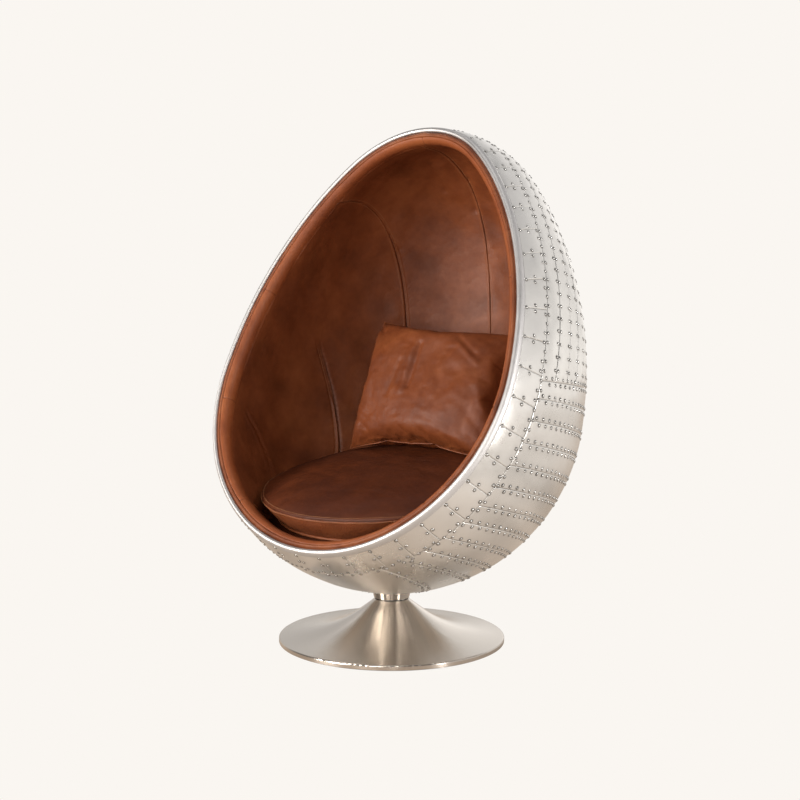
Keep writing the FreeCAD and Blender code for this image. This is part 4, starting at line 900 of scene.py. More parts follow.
def sweep(name, frame_, prof, mats, wobble=None, attrs=None):
    """Carries a closed profile of (outwards, backwards) round the mouth. prof is (m, 2) or (n, m, 2)."""
    P, T, N, E2 = frame_[:4]
    n = len(P)
    prof = np.asarray(prof, float)
    if prof.ndim == 2:
        prof = np.repeat(prof[None], n, 0)
    V = P[:, None] + prof[..., 0:1] * N[:, None] + prof[..., 1:2] * E2[:, None]
    m = prof.shape[1]
    F = []
    i, j = np.meshgrid(np.arange(n), np.arange(m), indexing="ij")
    i, j = i.ravel(), j.ravel()
    i2, j2 = (i + 1) % n, (j + 1) % m
    F = np.stack([i * m + j, i2 * m + j, i2 * m + j2, i * m + j2], 1)
    V = V.reshape(-1, 3)
    a, b_, c = V[F[0, 0]], V[F[0, 1]], V[F[0, 2]]
    centre = prof[0].mean(0)
    out = (prof[0, 0] - centre)
    ow = out[0] * N[0] + out[1] * E2[0]
    if np.dot(np.cross(b_ - a, c - b_), ow) < 0:
        F = F[:, ::-1]
    return V, F


NM = 900
fr = mouth_frame(0.0066, 0.002, NM)
prof = [(-5.2, 3.4), (-6.0, 0.6), (-5.4, -2.6), (-3.4, -5.2), (-0.4, -6.4), (2.8, -6.0), (5.4, -4.2), (7.0, -1.4), (7.9, 2.0),
        (8.05, 5.4), (7.85, 8.4), (7.45, 10.0), (6.9, 10.6), (6.0, 10.2), (5.6, 6.0), (2.0, 5.2), (-3.0, 5.0)]


def dense(prof, k, closed=True):
    """Rounds a coarse closed profile with a periodic cubic."""
    p = np.asarray(prof, float)
    n = len(p)
    out = []
    for i in range(n):
        p0, p1, p2, p3 = p[(i - 1) % n], p[i], p[(i + 1) % n], p[(i + 2) % n]
        for t in np.arange(k) / k:
            out.append(0.5 * ((2 * p1) + (p2 - p0) * t + (2 * p0 - 5 * p1 + 4 * p2 - p3) * t * t + (3 * p1 - p0 - 3 * p2 + p3) * t ** 3))
    return np.array(out)


bp = dense(prof, 2) / 1000.0
ws = waves(fr[0], 0.22, 31)[:, None, None] * 0.00018
bead_prof = np.repeat(bp[None], NM, 0) * (1 + waves(fr[0], 0.35, 32)[:, None, None] * 0.012) + ws
# a butt joint in the bead, low at the front
jl = np.linalg.norm(fr[0] - np.array([0.102, -0.327, 0.291]), axis=1)
bead_prof *= (1 - 0.10 * np.exp(-(jl / 0.0022) ** 2))[:, None, None]
V, F = sweep("bead", fr, bead_prof, M_BEAD)
bead_dirt = np.repeat(0.9 * np.exp(-(jl / 0.0022) ** 2), bp.shape[0])
bead = make("edge_bead", V, F, M_BEAD, {"tone": np.repeat(np.clip(waves(fr[0], 0.3, 33) * 0.5, -1, 1), bp.shape[0]), "dirt": bead_dirt})
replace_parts(bead, "rim_bead")

# piping: a cord in leather with its flat tail tucked behind the bead
fr = mouth_frame(0.0192, 0.0016, NM)
ang = np.radians(np.linspace(-150, 150, 22))
cp = [(4.2 * math.cos(a + pi), 4.2 * math.sin(a + pi)) for a in ang[::-1]]
cp = [(4.25 * math.cos(t), 4.25 * math.sin(t)) for t in np.radians(np.linspace(60, 360 + 20, 24))]
tail = [(7.8, 4.2), (7.8, 5.6), (1.0, 5.6)]
pp = np.array(cp + tail) / 1000.0
wob = 1 + 0.03 * waves(fr[0], 0.03, 41)[:, None, None] + 0.02 * waves(fr[0], 0.011, 42)[:, None, None]
jp = np.linalg.norm(fr[0] - np.array([0.003, -0.327, 0.291]), axis=1)
wob = wob * (1 + 0.10 * np.exp(-((jp - 0.004) / 0.004) ** 2) - 0.12 * np.exp(-(jp / 0.002) ** 2))[:, None, None]
V, F = sweep("piping", fr, np.repeat(pp[None], NM, 0) * wob, M_PIPING)
# the cord is lighter from rubbing; its tail tucked behind the bead gets painted shade
wear = np.tile(np.concatenate([np.full(len(cp), 0.25), np.full(len(tail), -0.9)]), NM) + np.repeat(0.25 * waves(fr[0], 0.05, 43), len(pp))
piping = make("lip_piping", V, F, M_PIPING, {"wear": wear})
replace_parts(piping, "rim_piping")

# padded lip: leather over a foam roll, a full quarter round from the piping back into the lining
NR = 1500
fr = mouth_frame(0.0361, 0.017, NR)
qa = np.linspace(0, pi / 2, 17)
q_in = 0.0232 + 0.0224 * np.sin(qa) ** 0.93
q_dp = 0.0042 + 0.0325 * (1 - np.cos(qa) ** 0.93)
lip = [(0.0361 - a_, b_ - 0.017) for a_, b_ in zip(q_in, q_dp)]
lip += [(-0.0088, 0.0240), (-0.0066, 0.0275), (-0.0030, 0.0270), (0.0020, 0.0200), (0.0090, 0.0120), (0.0128, 0.0020), (0.0134, -0.0070)]
lip = np.array(lip)
ml = len(lip)
lc = lip.mean(0)
rr = np.repeat(lip[None], NR, 0) - lc
wob = 1 + 0.014 * waves(fr[0], 0.16, 51) + 0.010 * waves(fr[0], 0.05, 52)
rr = rr * wob[:, None, None]
lip_wear = np.zeros((NR, ml))
lip_ang = np.arctan2(lip[:, 1] - lc[1], lip[:, 0] - lc[0])
rr *= 1 + (0.006 * waves(fr[0][:, None] + 0.0 * lip[None, :, :1], 0.028, 53) * (0.5 + 0.5 * np.cos(lip_ang - pi))[None])[..., None]
fp = fr[4]
LIP_SEAMS = []
for (x1, s1), (x2, s2) in (((-0.384, 0.113), (-0.350, 0.102)), ((-0.419, -0.203), (-0.376, -0.207)), ((-0.264, -0.462), (-0.219, -0.469)),
                           ((0.384, 0.113), (0.350, 0.102)), ((0.419, -0.203), (0.376, -0.207)), ((0.300, -0.420), (0.262, -0.430)), ((0.02, 0.60), (0.02, 0.57))):
    i0 = int(np.argmin(np.hypot(fp[:, 0] - (x1 + x2) / 2, fp[:, 1] - (s1 + s2) / 2)))
    LIP_SEAMS.append(i0)
step_ = fr[5] / NR
for i0 in LIP_SEAMS:
    dd = (np.arange(NR) - i0 + NR / 2) % NR - NR / 2
    dd = dd * step_
    rr *= (1 - 0.11 * np.exp(-(dd / 0.0016) ** 2) - 0.02 * np.exp(-(dd / 0.010) ** 2))[:, None, None]
    pk = 0.012 * np.exp(-(dd / 0.018) ** 2)[:, None] * np.cos(lip_ang * 11 + i0)[None]
    rr *= (1 + pk)[..., None]
    # painted shade in each cross seam's groove, with lighter rubbed bands beside it
    lip_wear -= (0.8 * np.exp(-(dd / 0.0020) ** 2))[:, None]
    lip_wear += (0.3 * np.exp(-((np.abs(dd) - 0.005) / 0.003) ** 2))[:, None]
# the face of the roll that turns out of the mouth is lighter, with random patches
lip_wear += 0.35 * np.clip(-np.cos(lip_ang - 0.4 * pi), 0, 1)[None] * 0.6 + 0.12 * waves(fr[0], 0.09, 54)[:, None]
V, F = sweep("roll", fr, rr + lc, M_ROLL_LIT)
roll = make("lip_roll", V, F, M_ROLL_LIT, {"wear": np.clip(lip_wear.ravel(), -1, 1)})
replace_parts(roll, "rim_roll_cover", "rim_roll_foam")

# ------------------------------------------------------------------ sewn lining
LI = 0.0447
XP, BP = 0.245, -0.1479            # the line that all the seams of a side panel fan out from
SEAT_Y, SEAT_Z, SEAT_T = 0.066 * math.cos(math.radians(10)), 0.405 + 0.066 * math.sin(math.radians(10)), math.radians(10)
SX = np.array([1.0, 0, 0])
SY = np.array([0, math.cos(SEAT_T), math.sin(SEAT_T)])
SZ = np.array([0, -math.sin(SEAT_T), math.cos(SEAT_T)])
SO = np.array([0, SEAT_Y, SEAT_Z])


def seat_local(P):
    q = P - SO
    return q @ SX, q @ SY, q @ SZ


def from_local(x, b, s):
    return to_world(np.array(x), np.array(b), np.array(s))


def seg_dist(P, a, b):
    d = b - a
    t = np.clip(((P - a) @ d) / (d @ d), 0, 1)
    return np.linalg.norm(P - a - t[..., None] * d, axis=-1), t


FOLDS = [  # two ends in egg coordinates, half width, height into the pod
    ((-0.069, -0.016, 0.571), (-0.079, 0.091, 0.554), 0.010, -0.0042),
    ((-0.036, 0.000, 0.578), (-0.048, 0.110, 0.556), 0.022, 0.0048),
    ((0.004, 0.077, 0.570), (-0.011, 0.169, 0.526), 0.011, -0.0045),
    ((0.030, 0.060, 0.573), (0.018, 0.160, 0.530), 0.020, 0.0030),
    ((-0.242, 0.101, 0.424), (-0.235, 0.150, 0.400), 0.006, -0.0030),
    ((-0.222, 0.105, 0.432), (-0.216, 0.160, 0.402), 0.008, 0.0026),
    ((-0.205, 0.120, 0.436), (-0.190, 0.175, 0.400), 0.006, -0.0018),
    ((0.050, 0.150, 0.540), (0.110, 0.130, 0.530), 0.012, -0.0016),
    ((0.242, 0.101, 0.424), (0.235, 0.150, 0.400), 0.006, -0.0026),
    ((-0.15, 0.10, 0.49), (-0.10, 0.20, 0.46), 0.016, -0.0018),
    ((0.12, 0.16, 0.49), (0.16, 0.25, 0.42), 0.014, -0.0020),
    ((-0.33, 0.02, 0.31), (-0.31, 0.12, 0.27), 0.010, -0.0018),
    ((-0.40, -0.06, 0.10), (-0.39, 0.05, 0.07), 0.014, -0.0016),
    ((-0.405, -0.09, -0.10), (-0.40, 0.03, -0.16), 0.012, -0.0018),
]


def lining_fold(P):
    d = np.zeros(P.shape[:-1])
    for a, b, w, h in FOLDS:
        dist, t = seg_dist(P, from_local(*a), from_local(*b))
        d += h * np.exp(-(dist / w) ** 2)
    return d


def stitch_line(pts, nrm, pitch=0.0052, length=0.0036, r=0.00042, lift=0.0001, seed=0):
    """Threads along a polyline: short rounded lozenges sunk into the leather."""
    d = np.concatenate([[0], np.cumsum(np.linalg.norm(np.diff(pts, axis=0), axis=1))])
    n = int(d[-1] / pitch)
    if n < 1:
        return np.zeros((0, 3)), np.zeros((0, 4), int)
    c = (np.arange(n) + 0.5) * pitch
    at = lambda t: np.stack([np.interp(t, d, pts[:, i]) for i in range(3)], 1)
    an = lambda t: np.stack([np.interp(t, d, nrm[:, i]) for i in range(3)], 1)
    r_ = RNG(seed + n)
    cen = at(c)
    T = at(c + 0.001) - at(c - 0.001)
    T /= np.maximum(np.linalg.norm(T, axis=1, keepdims=True), 1e-12)
    N = an(c)
    N -= T * np.sum(T * N, axis=1, keepdims=True)
    N /= np.linalg.norm(N, axis=1, keepdims=True)
    U = np.cross(T, N)
    T = T + U * r_.normal(0, 0.06, (n, 1))
    prof = [(-0.5, 0.0, -0.6), (-0.42, 0.72, 0.0), (-0.18, 1.0, 0.25), (0.18, 1.0, 0.25), (0.42, 0.72, 0.0), (0.5, 0.0, -0.6)]
    m = 6
    th = np.arange(m) * 2 * pi / m
    V, F = [], []
    for (a, k, up) in prof:
        for t in th:
            V.append((a * length, k * r * math.cos(t), k * r * math.sin(t) + up * r))
    for j in range(len(prof) - 1):
        for i in range(m):
            F.append((j * m + i, j * m + (i + 1) % m, (j + 1) * m + (i + 1) % m, (j + 1) * m + i))
    V, F = np.array(V), np.array(F)
    W = (cen + N * lift)[:, None] + V[None, :, 0:1] * T[:, None] + V[None, :, 1:2] * U[:, None] + V[None, :, 2:3] * N[:, None]
    return W.reshape(-1, 3), (F[None] + (np.arange(n) * len(V))[:, None, None]).reshape(-1, 4)


def seam_shape(d, band=0.0075, height=0.0009, groove=0.0022, w=0.0011):
    """Cross section of a lapped and topstitched seam, at a distance d from it, towards the sitter."""
    d = np.abs(d)
    z = height * smooth01((band + 0.0016 - d) / 0.0032)
    z -= groove * np.exp(-(d / w) ** 2)
    z -= 0.00035 * np.exp(-((d - 0.0048) / 0.0007) ** 2)
    return z


def pull(d, along, seed, lam=0.013):
    """Small puckers that a row of stitches draws into the leather beside it."""
    a = np.cos(2 * pi * along / lam + 1.3 * np.sin(along * 41 + seed) + seed)
    return 0.00032 * a * np.exp(-((np.abs(d) - 0.010) / 0.010) ** 2)


def dens(a, b, step, near, fine, spots):
    """Values from a to b, about step apart, and fine apart within near of the spots."""
    v, out = a, [a]
    while v < b:
        g = min(abs(v - s) for s in spots)
        st = fine if g < near else min(step, fine + (g - near) * 0.35)
        v = v + st
        out.append(min(v, b))
    if len(out) > 2 and out[-1] - out[-2] < fine * 0.4:
        out.pop(-2)
    return np.array(out)


def centre_column(x, n):
    """Lining line at one x from the lip at the top, round the back, to the lip at the bottom."""
    rt, rb_ = RT - LI, RB - LI
    s = np.linspace(S_B - rb_, S_T + rt, 5000)
    b2 = rad(s, LI) ** 2 - x * x
    ok = b2 > 0
    s, b = s[ok], np.sqrt(b2[ok])
    top = np.stack([b, s], 1)[::-1]                      # from the top round the back to the bottom
    # in front of the axis plane, at the top and the bottom
    fs = np.stack([-b, s], 1)
    up = fs[(fs[:, 1] > 0.2) & (fs[:, 0] > BP)]
    dn = fs[(fs[:, 1] < -0.2) & (fs[:, 0] > BP)]
    pts = np.vstack([up, top, dn]) if len(up) and len(dn) else top
    if x > 0.15:
        up = up[np.argsort(up[:, 0])] if len(up) else up
        dn = dn[np.argsort(-dn[:, 0])] if len(dn) else dn
        pts = np.vstack([up, top, dn])
    else:
        up = up[np.argsort(up[:, 0])]
        dn = dn[np.argsort(-dn[:, 0])]
        pts = np.vstack([up, top, dn])
    q, length = spaced(pts, n)
    return q, length


def inward(P):
    return -normals(P)


NV = 430
lining_parts, stitch_parts = {}, []


def tuck_edge(P, db):
    """The lining turns outwards where it meets the lip. db is how far behind the lip a point lies."""
    return -0.0030 * smooth01((0.007 - db) / 0.007) + 0.0010 * smooth01((0.03 - np.abs(db - 0.030)) / 0.03)


def finish_lining(name, P, d_in, wear):
    """Displaces a grid into the pod and keeps the sheet."""
    N = inward(P)
    V = P + N * d_in[..., None]
    return V, N, wear


def sheet_from(V, N, wear, keep=None, flip=False):
    nu, nv = V.shape[:2]
    F = grid_faces(nu, nv)
    if flip:
        F = F[:, ::-1]
    v, n = V.reshape(-1, 3), N.reshape(-1, 3)
    if keep is not None:
        F = F[keep(v[F].mean(1))]
        used = np.unique(F)
        mp = np.full(len(v), -1)
        mp[used] = np.arange(len(used))
        v, n, F, wear = v[used], n[used], mp[F], wear.ravel()[used]
    at = {"wear": np.clip(wear.ravel(), -1, 1)}
    Vw, Fw, at = weld(v, F, 2e-5, dict(at, nx=n[:, 0], ny=n[:, 1], nz=n[:, 2]))
    Nw = np.stack([at.pop("nx"), at.pop("ny"), at.pop("nz")], 1)
    return thicken(Vw, Nw, Fw, 0.0013, at)


def orient(V, N):
    a, b, c = V[V.shape[0] // 2, V.shape[1] // 2], V[V.shape[0] // 2 + 1, V.shape[1] // 2], V[V.shape[0] // 2 + 1, V.shape[1] // 2 + 1]
    return np.dot(np.cross(b - a, c - b), N[V.shape[0] // 2, V.shape[1] // 2]) < 0


def is_apron(c):
    """The part of the lining that lies out of sight under the seat cushion."""
    x, y, z = seat_local(c)
    return (z < -0.046) & (c[:, 1] < 0.060)


def foam_under(V, N, P, ends, flip):
    """The foam behind a panel of lining, from just under the leather to the shell."""
    iu = np.unique(np.concatenate([np.arange(0, V.shape[0], 3), [V.shape[0] - 1]]))
    iv = np.unique(np.concatenate([np.arange(0, V.shape[1], 4), [V.shape[1] - 1]]))
    d_ = np.sum((V - P) * N, -1)[np.ix_(iu, iv)]
    Pf, Nf_ = P[np.ix_(iu, iv)], N[np.ix_(iu, iv)]
    front_ = Pf + Nf_ * (np.minimum(d_, 0.0) - 0.0050)[..., None]
    thick = (LI - 0.0075) + np.minimum(d_, 0.0) - 0.0050
    Fg = grid_faces(len(iu), len(iv))
    if flip:
        Fg = Fg[:, ::-1]
    at = {"wear": np.zeros(Fg.max() + 1), "t": thick.ravel(), "nx": Nf_[..., 0].ravel(), "ny": Nf_[..., 1].ravel(), "nz": Nf_[..., 2].ravel()}
    Vw, Fw, at = weld(front_.reshape(-1, 3), Fg, 2e-5, at)
    Nw = np.stack([at.pop("nx"), at.pop("ny"), at.pop("nz")], 1)
    return thicken(Vw, Nw, Fw, at.pop("t"), at)


apron, foam_parts = [], []
for side in (-1, 1):
    xs = dens(0.0, XP, 0.0065, 0.011, 0.0009, (0.0, XP))
    Q = [centre_column(x, NV) for x in xs]
    L = np.array([q[1] for q in Q])
    q = np.stack([q[0] for q in Q], 0)
    P = to_world(np.repeat(xs[:, None], NV, 1), q[..., 0], q[..., 1])
    along = np.linspace(0, 1, NV)[None, :] * L[:, None]
    end = np.minimum(along, L[:, None] - along)
    dx0 = np.repeat(xs[:, None], NV, 1)
    dx1 = XP - dx0
    P = P * np.array([side, 1, 1])
    d = 0.0034 * (1 - np.exp(-np.minimum(dx0, dx1) / 0.045)) * smooth01(end / 0.05)
    hood = 1 - 0.8 * smooth01((q[..., 1] - 0.36) / 0.10)
    d += seam_shape(dx0) + seam_shape(dx1) * hood + pull(dx0, along, 2.0) + pull(dx1, along, 3.0 + side) * hood
    d += tuck_edge(P, end) + lining_fold(P)
    d += 0.0011 * waves(P, 0.16, 61) + 0.00042 * waves(P, 0.06, 62) + 0.00014 * waves(P, 0.022, 63)
    # lighter rubbed bands beside each seam, and painted shade in the seam grooves
    wear = 0.45 * np.exp(-((dx0 - 0.0065) / 0.003) ** 2) + 0.45 * np.exp(-((dx1 - 0.0065) / 0.003) ** 2)
    wear -= 0.9 * np.exp(-(dx0 / 0.0012) ** 2) + 0.9 * hood * np.exp(-(dx1 / 0.0012) ** 2)
    wear += 0.16 * waves(P, 0.11, 64)
    V, N, wear = finish_lining("c", P, d, wear)
    fl = orient(V, N)
    nm = "lining_back_left" if side < 0 else "lining_back_right"
    lining_parts[nm] = sheet_from(V, N, wear, lambda c: ~is_apron(c), fl)
    apron.append(sheet_from(V, N, wear, is_apron, fl))
    foam_parts.append(foam_under(V, N, P, (0, len(xs) - 1), fl))
    for x0 in (0.0048, XP - 0.0048):
        i = int(np.argmin(np.abs(xs - x0)))
        stitch_parts.append(stitch_line(V[i], N[i], seed=int(x0 * 1e4)))

# side panels
DART_S = np.array([-0.60, -0.30, -0.192, -0.129, -0.076, -0.024, 0.031, 0.058, 0.12, 0.20, 0.60])
DART_A = np.radians([9.0, 12.6, 15.7, 18.4, 21.1, 24.2, 28.7, 31.6, 37.0, 42.0, 50.0])
FAINT = [(-0.430, -0.075, -0.211), (-0.429, -0.024, -0.245), (-0.416, 0.015, -0.289), (-0.399, 0.034, -0.325), (-0.375, 0.045, -0.360)]


def side_column(u, n):
    """Lining line in one plane of the fan, from the upper end of the seam round the back to its lower end."""
    s = np.linspace(S_B - RB + LI, S_T + RT - LI, 16001)
    ac = np.interp(s, DART_S, DART_A)
    al = ac * (u / 0.30) if u <= 0.30 else ac + (A1 - ac) * (u - 0.30) / 0.70
    sa, ca = np.sin(al), np.cos(al)
    k = XP * sa + BP * ca
    out2 = XP * XP + BP * BP - rad(s, LI) ** 2
    disc = k * k - out2
    far = (disc >= 0) & ((out2 < 0) | (k < 0))
    near = (disc >= 0) & (out2 > 0) & (k < 0)

    def at(sel, sign):
        t = -k[sel] + sign * np.sqrt(disc[sel])
        return np.stack([XP + t * sa[sel], BP + t * ca[sel], s[sel]], 1)

    pole_s = s[out2 < 0]
    pts = [np.array([[XP, BP, pole_s[-1]]]), at(near & (s > 0), -1), at(far, 1)[::-1], at(near & (s < 0), -1), np.array([[XP, BP, pole_s[0]]])]
    return spaced(np.vstack(pts), n)[0]


NVS = 400
for side in (-1, 1):
    # u runs over the fan, with the dart at a fixed column; widths are near 0.42 m along the widest arc
    A1 = math.radians(90.0)
    us = dens(0.0, 1.0, 0.0155, 0.028, 0.0026, (0.0, 0.30))
    cols = []
    for u in us:
        cols.append(side_column(u, NVS))
    q = np.stack(cols, 0)
    P = to_world(q[..., 0], q[..., 1], q[..., 2]) * np.array([side, 1, 1])
    du = np.concatenate([np.zeros((1, NVS)), np.cumsum(np.linalg.norm(np.diff(P, axis=0), axis=2), axis=0)])
    ic = int(np.argmin(np.abs(us - 0.30)))
    dc = np.abs(du - du[ic:ic + 1])
    sgn = np.sign(du - du[ic:ic + 1])
    db = q[..., 1] - BP
    S = q[..., 2]
    along = np.concatenate([np.zeros((len(us), 1)), np.cumsum(np.linalg.norm(np.diff(P, axis=1), axis=2), axis=1)], 1)
    edge_m = du[-1:] - du
    low = smooth01((-0.03 - S) / 0.07)                 # the dart stands up in its lower half
    on = smooth01((S + 0.62) / 0.05) * smooth01((0.10 - S) / 0.07)
    d = 0.0036 * (1 - np.exp(-np.minimum(du, edge_m) / 0.045))
    hood = 1 - 0.8 * smooth01((S - 0.36) / 0.10)
    d += (seam_shape(du) + pull(du, along, 3.0 + side)) * hood
    d += on * (low * 0.0046 * np.exp(-(dc / 0.0026) ** 2) - (1 - low) * 0.0022 * np.exp(-(dc / 0.0016) ** 2))
    d -= on * 0.0030 * np.exp(-((du - du[ic:ic + 1] + 0.0075) / 0.0055) ** 2)
    d -= on * 0.0016 * np.exp(-((du - du[ic:ic + 1] - 0.0070) / 0.0045) ** 2)
    d += on * pull(dc, along, 5.0, 0.017) * 1.4
    dfn = np.full(P.shape[:2], 9.0)
    for a, b_ in zip(FAINT[:-1], FAINT[1:]):
        pa, pb = from_local(*a) * np.array([-side, 1, 1]), from_local(*b_) * np.array([-side, 1, 1])
        dd, _ = seg_dist(P, pa, pb)
        dfn = np.minimum(dfn, dd)
    d += -0.0016 * np.exp(-(dfn / 0.0034) ** 2) + 0.0008 * np.exp(-((dfn - 0.010) / 0.006) ** 2)
    d += tuck_edge(P, edge_m) + lining_fold(P)
    pole = smooth01(np.minimum(along, along[:, -1:] - along) / 0.03)
    d = d * pole
    d += 0.0012 * waves(P, 0.16, 61) * pole + 0.00045 * waves(P, 0.06, 62) + 0.00014 * waves(P, 0.022, 63)
    # lighter rubbed bands beside the seam and along the dart's ridge; painted shade in the seam groove and the trough
    # beside the dart
    wear = (0.45 * np.exp(-((du - 0.0065) / 0.003) ** 2) - 0.9 * np.exp(-(du / 0.0012) ** 2)) * hood
    wear += on * (0.8 * low * np.exp(-(dc / 0.0022) ** 2) - 0.7 * np.exp(-((du - du[ic:ic + 1] + 0.0075) / 0.003) ** 2))
    wear += 0.3 * np.exp(-((dfn - 0.005) / 0.003) ** 2) + 0.16 * waves(P, 0.11, 64)
    V, N, wear = finish_lining("s", P, d, wear)
    fl = orient(V, N)
    nm = "lining_side_left" if side < 0 else "lining_side_right"
    lining_parts[nm] = sheet_from(V, N, wear, lambda c: ~is_apron(c), fl)
    apron.append(sheet_from(V, N, wear, is_apron, fl))
    foam_parts.append(foam_under(V, N, P, (0, len(us) - 1), fl))
    i = int(np.argmin(np.abs(du[:, NVS // 2] - 0.0048)))
    stitch_parts.append(stitch_line(V[i, 6:-6], N[i, 6:-6], seed=77))
    keep = (S[ic] > -0.45) & (S[ic] < 0.06)
    for off in (-3, 3):
        stitch_parts.append(stitch_line(V[ic + off][keep], N[ic + off][keep], seed=78 + off))

v, f, a = join(foam_parts)
foam_bowl = make("bowl_foam", v, f, SLOT_MAT["foam"], {"wear": a["wear"]})
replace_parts(foam_bowl, "foam_liner")
for nm, (v, f, a) in lining_parts.items():
    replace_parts(make("lined_" + nm, v, f, M_LINING, a), nm)
v, f, a = join(apron)
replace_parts(make("lined_front_apron", v, f, M_LINING, a), "lining_front_apron")
sv, sf, _ = join([(v, f, {}) for v, f in stitch_parts if len(v)])
low_stitch = sv.reshape(-1, 36, 3)
sx, sy, sz = seat_local(low_stitch.mean(1))
keep = sz > -0.12
sf = sf.reshape(len(low_stitch), -1, 4)[0]
sv = low_stitch[keep].reshape(-1, 3)
sf = (sf[None] + (np.arange(keep.sum()) * 36)[:, None, None]).reshape(-1, 4)
lining_stitches = make("lining_stitches", sv, sf, M_THREAD)
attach(lining_stitches, "pod")

# ------------------------------------------------------------------ seat cushion
PHI_T = np.radians([-90, -75, -60, -45, -30, -15, 0, 15, 30, 45, 60, 75, 90])
R_TOP = np.array([384, 384, 384, 384, 384, 384, 383, 377, 371, 366, 362, 360, 360]) / 1000
R_LOW = np.array([343, 343, 343, 343, 343, 343, 342, 338, 332, 327, 323, 321, 320]) / 1000
SEAT_LOW = 0.062


def outline(phi, tab):
    """Cushion outline: phi is the angle in the seat's plane, 90 degrees at the back, the same on both sides."""
    f = np.arcsin(np.clip(np.sin(phi), -1, 1))
    return np.interp(f, PHI_T, tab)


NPHI = 760
ph = np.linspace(0, 2 * pi, NPHI, endpoint=False)
rt = outline(ph, R_TOP) - 0.0012
rl = outline(ph, R_LOW) - 0.0008
# profile rows: fraction of the radius, then the turned edge, the boxing and the underside
rows, zone_id = [], []
t_top = np.concatenate([np.linspace(0.0, 0.86, 46), 0.86 + (1 - 0.86) * (1 - (1 - np.linspace(0, 1, 34)[1:]) ** 1.6)])
for t in t_top:
    z = 0.050 * (1 - t ** 2.5) ** 0.82
    rows.append((t * (rt - 0.004), np.full(NPHI, z)))
    zone_id.append(0)
for a in np.linspace(0, pi / 2, 9)[1:]:
    rows.append((rt - 0.004 + 0.004 * math.sin(a), np.full(NPHI, -0.0045 + 0.0045 * math.cos(a))))
    zone_id.append(1)
n_box = 30
for t in np.linspace(0, 1, n_box)[1:]:
    z = -0.0045 - (SEAT_LOW - 0.0045) * t
    bulge = 0.0034 * math.sin(pi * t) ** 0.8
    rows.append((rt + (rl - rt) * t + bulge, np.full(NPHI, z)))
    zone_id.append(2)
for t in np.linspace(0, 1, 14)[1:]:
    rows.append((rl * (1 - t), np.full(NPHI, -SEAT_LOW - 0.0006)))
    zone_id.append(3)
R = np.stack([r for r, z in rows], 1)
Z = np.stack([z for r, z in rows], 1)
X = R * np.cos(ph)[:, None]
Y = R * np.sin(ph)[:, None]
zid = np.array(zone_id)
seat_flat = np.stack([X, Y, Z], -1)


def seat_world(P):
    return SO + P[..., 0:1] * SX + P[..., 1:2] * SY + P[..., 2:3] * SZ


# normals of the profile in its own plane
dR, dZ = np.gradient(R, axis=1), np.gradient(Z, axis=1)
ln = np.maximum(np.hypot(dR, dZ), 1e-9)
nr, nz = -(-dZ) / ln, dR / ln
nr = -dZ / ln
nz = dR / ln
Nf = np.stack([nr * np.cos(ph)[:, None], nr * np.sin(ph)[:, None], nz], -1)
inset_e = np.maximum(rt[:, None] - R, 0)              # how far in from the edge
below_e = np.maximum(-Z - 0.002, 0)                    # how far under it
top, box = (zid <= 1)[None, :], (zid >= 2)[None, :]
arc = ph[:, None] * 0.384
d = np.zeros(R.shape)
d -= 0.0022 * np.exp(-((inset_e * top + below_e * box + 0.00) / 0.0016) ** 2) * ((zid == 1) | (zid == 2))[None, :]
d += np.where(top, 0.0010 * smooth01((0.0095 - inset_e) / 0.003) * smooth01((inset_e - 0.0015) / 0.002), 0)
d += np.where(box & (zid == 2)[None, :], 0.0009 * smooth01((0.0085 - below_e) / 0.003) * smooth01((below_e - 0.001) / 0.002), 0)
d -= np.where(top, 0.0006 * np.exp(-((inset_e - 0.0062) / 0.0008) ** 2), 0)
d -= np.where((zid == 2)[None, :], 0.0006 * np.exp(-((below_e - 0.0052) / 0.0008) ** 2), 0)
# puckers drawn in by the stitching, longest at the front
r_ = RNG(9)
for i in range(64):
    p0 = r_.uniform(0, 2 * pi)
    w = r_.uniform(0.006, 0.014)
    ln_ = r_.uniform(0.018, 0.055)
    am = r_.uniform(-0.0011, 0.0009)
    sk = r_.uniform(-0.35, 0.35)
    da = np.mod(ph[:, None] - p0 + pi, 2 * pi) - pi
    d += np.where(top, am * np.exp(-((da * 0.384 - sk * (inset_e - 0.01)) / w) ** 2) * np.exp(-((inset_e - 0.012) / ln_) ** 2) * smooth01((inset_e - 0.006) / 0.008), 0)
    d += np.where((zid == 2)[None, :], 0.5 * am * np.exp(-(da * 0.384 / w) ** 2) * np.exp(-((below_e - 0.010) / 0.012) ** 2) * smooth01((below_e - 0.006) / 0.006), 0)
SP = seat_world(seat_flat)
fade_c = smooth01(R / 0.05)
d += np.where(top, 0.0012 * waves(SP, 0.17, 71) + 0.0005 * waves(SP, 0.06, 72) + 0.00014 * waves(SP, 0.02, 73), 0) * (0.4 + 0.6 * fade_c)
d += np.where((zid == 2)[None, :], 0.0006 * waves(SP, 0.07, 74), 0)
# two long soft sitting creases
for (x1, y1, x2, y2, w, am) in ((-0.26, -0.12, -0.05, -0.20, 0.012, -0.0016), (-0.10, -0.27, 0.12, -0.25, 0.010, -0.0013), (-0.05, -0.05, 0.20, -0.10, 0.016, -0.0014), (-0.30, 0.02, -0.2, -0.10, 0.014, -0.0014)):
    dd, _ = seg_dist(np.stack([X, Y, np.zeros_like(X)], -1), np.array([x1, y1, 0.0]), np.array([x2, y2, 0.0]))
    d += np.where(top, am * np.exp(-(dd / w) ** 2), 0)
SV = seat_flat + Nf * d[..., None]
SW = seat_world(SV)
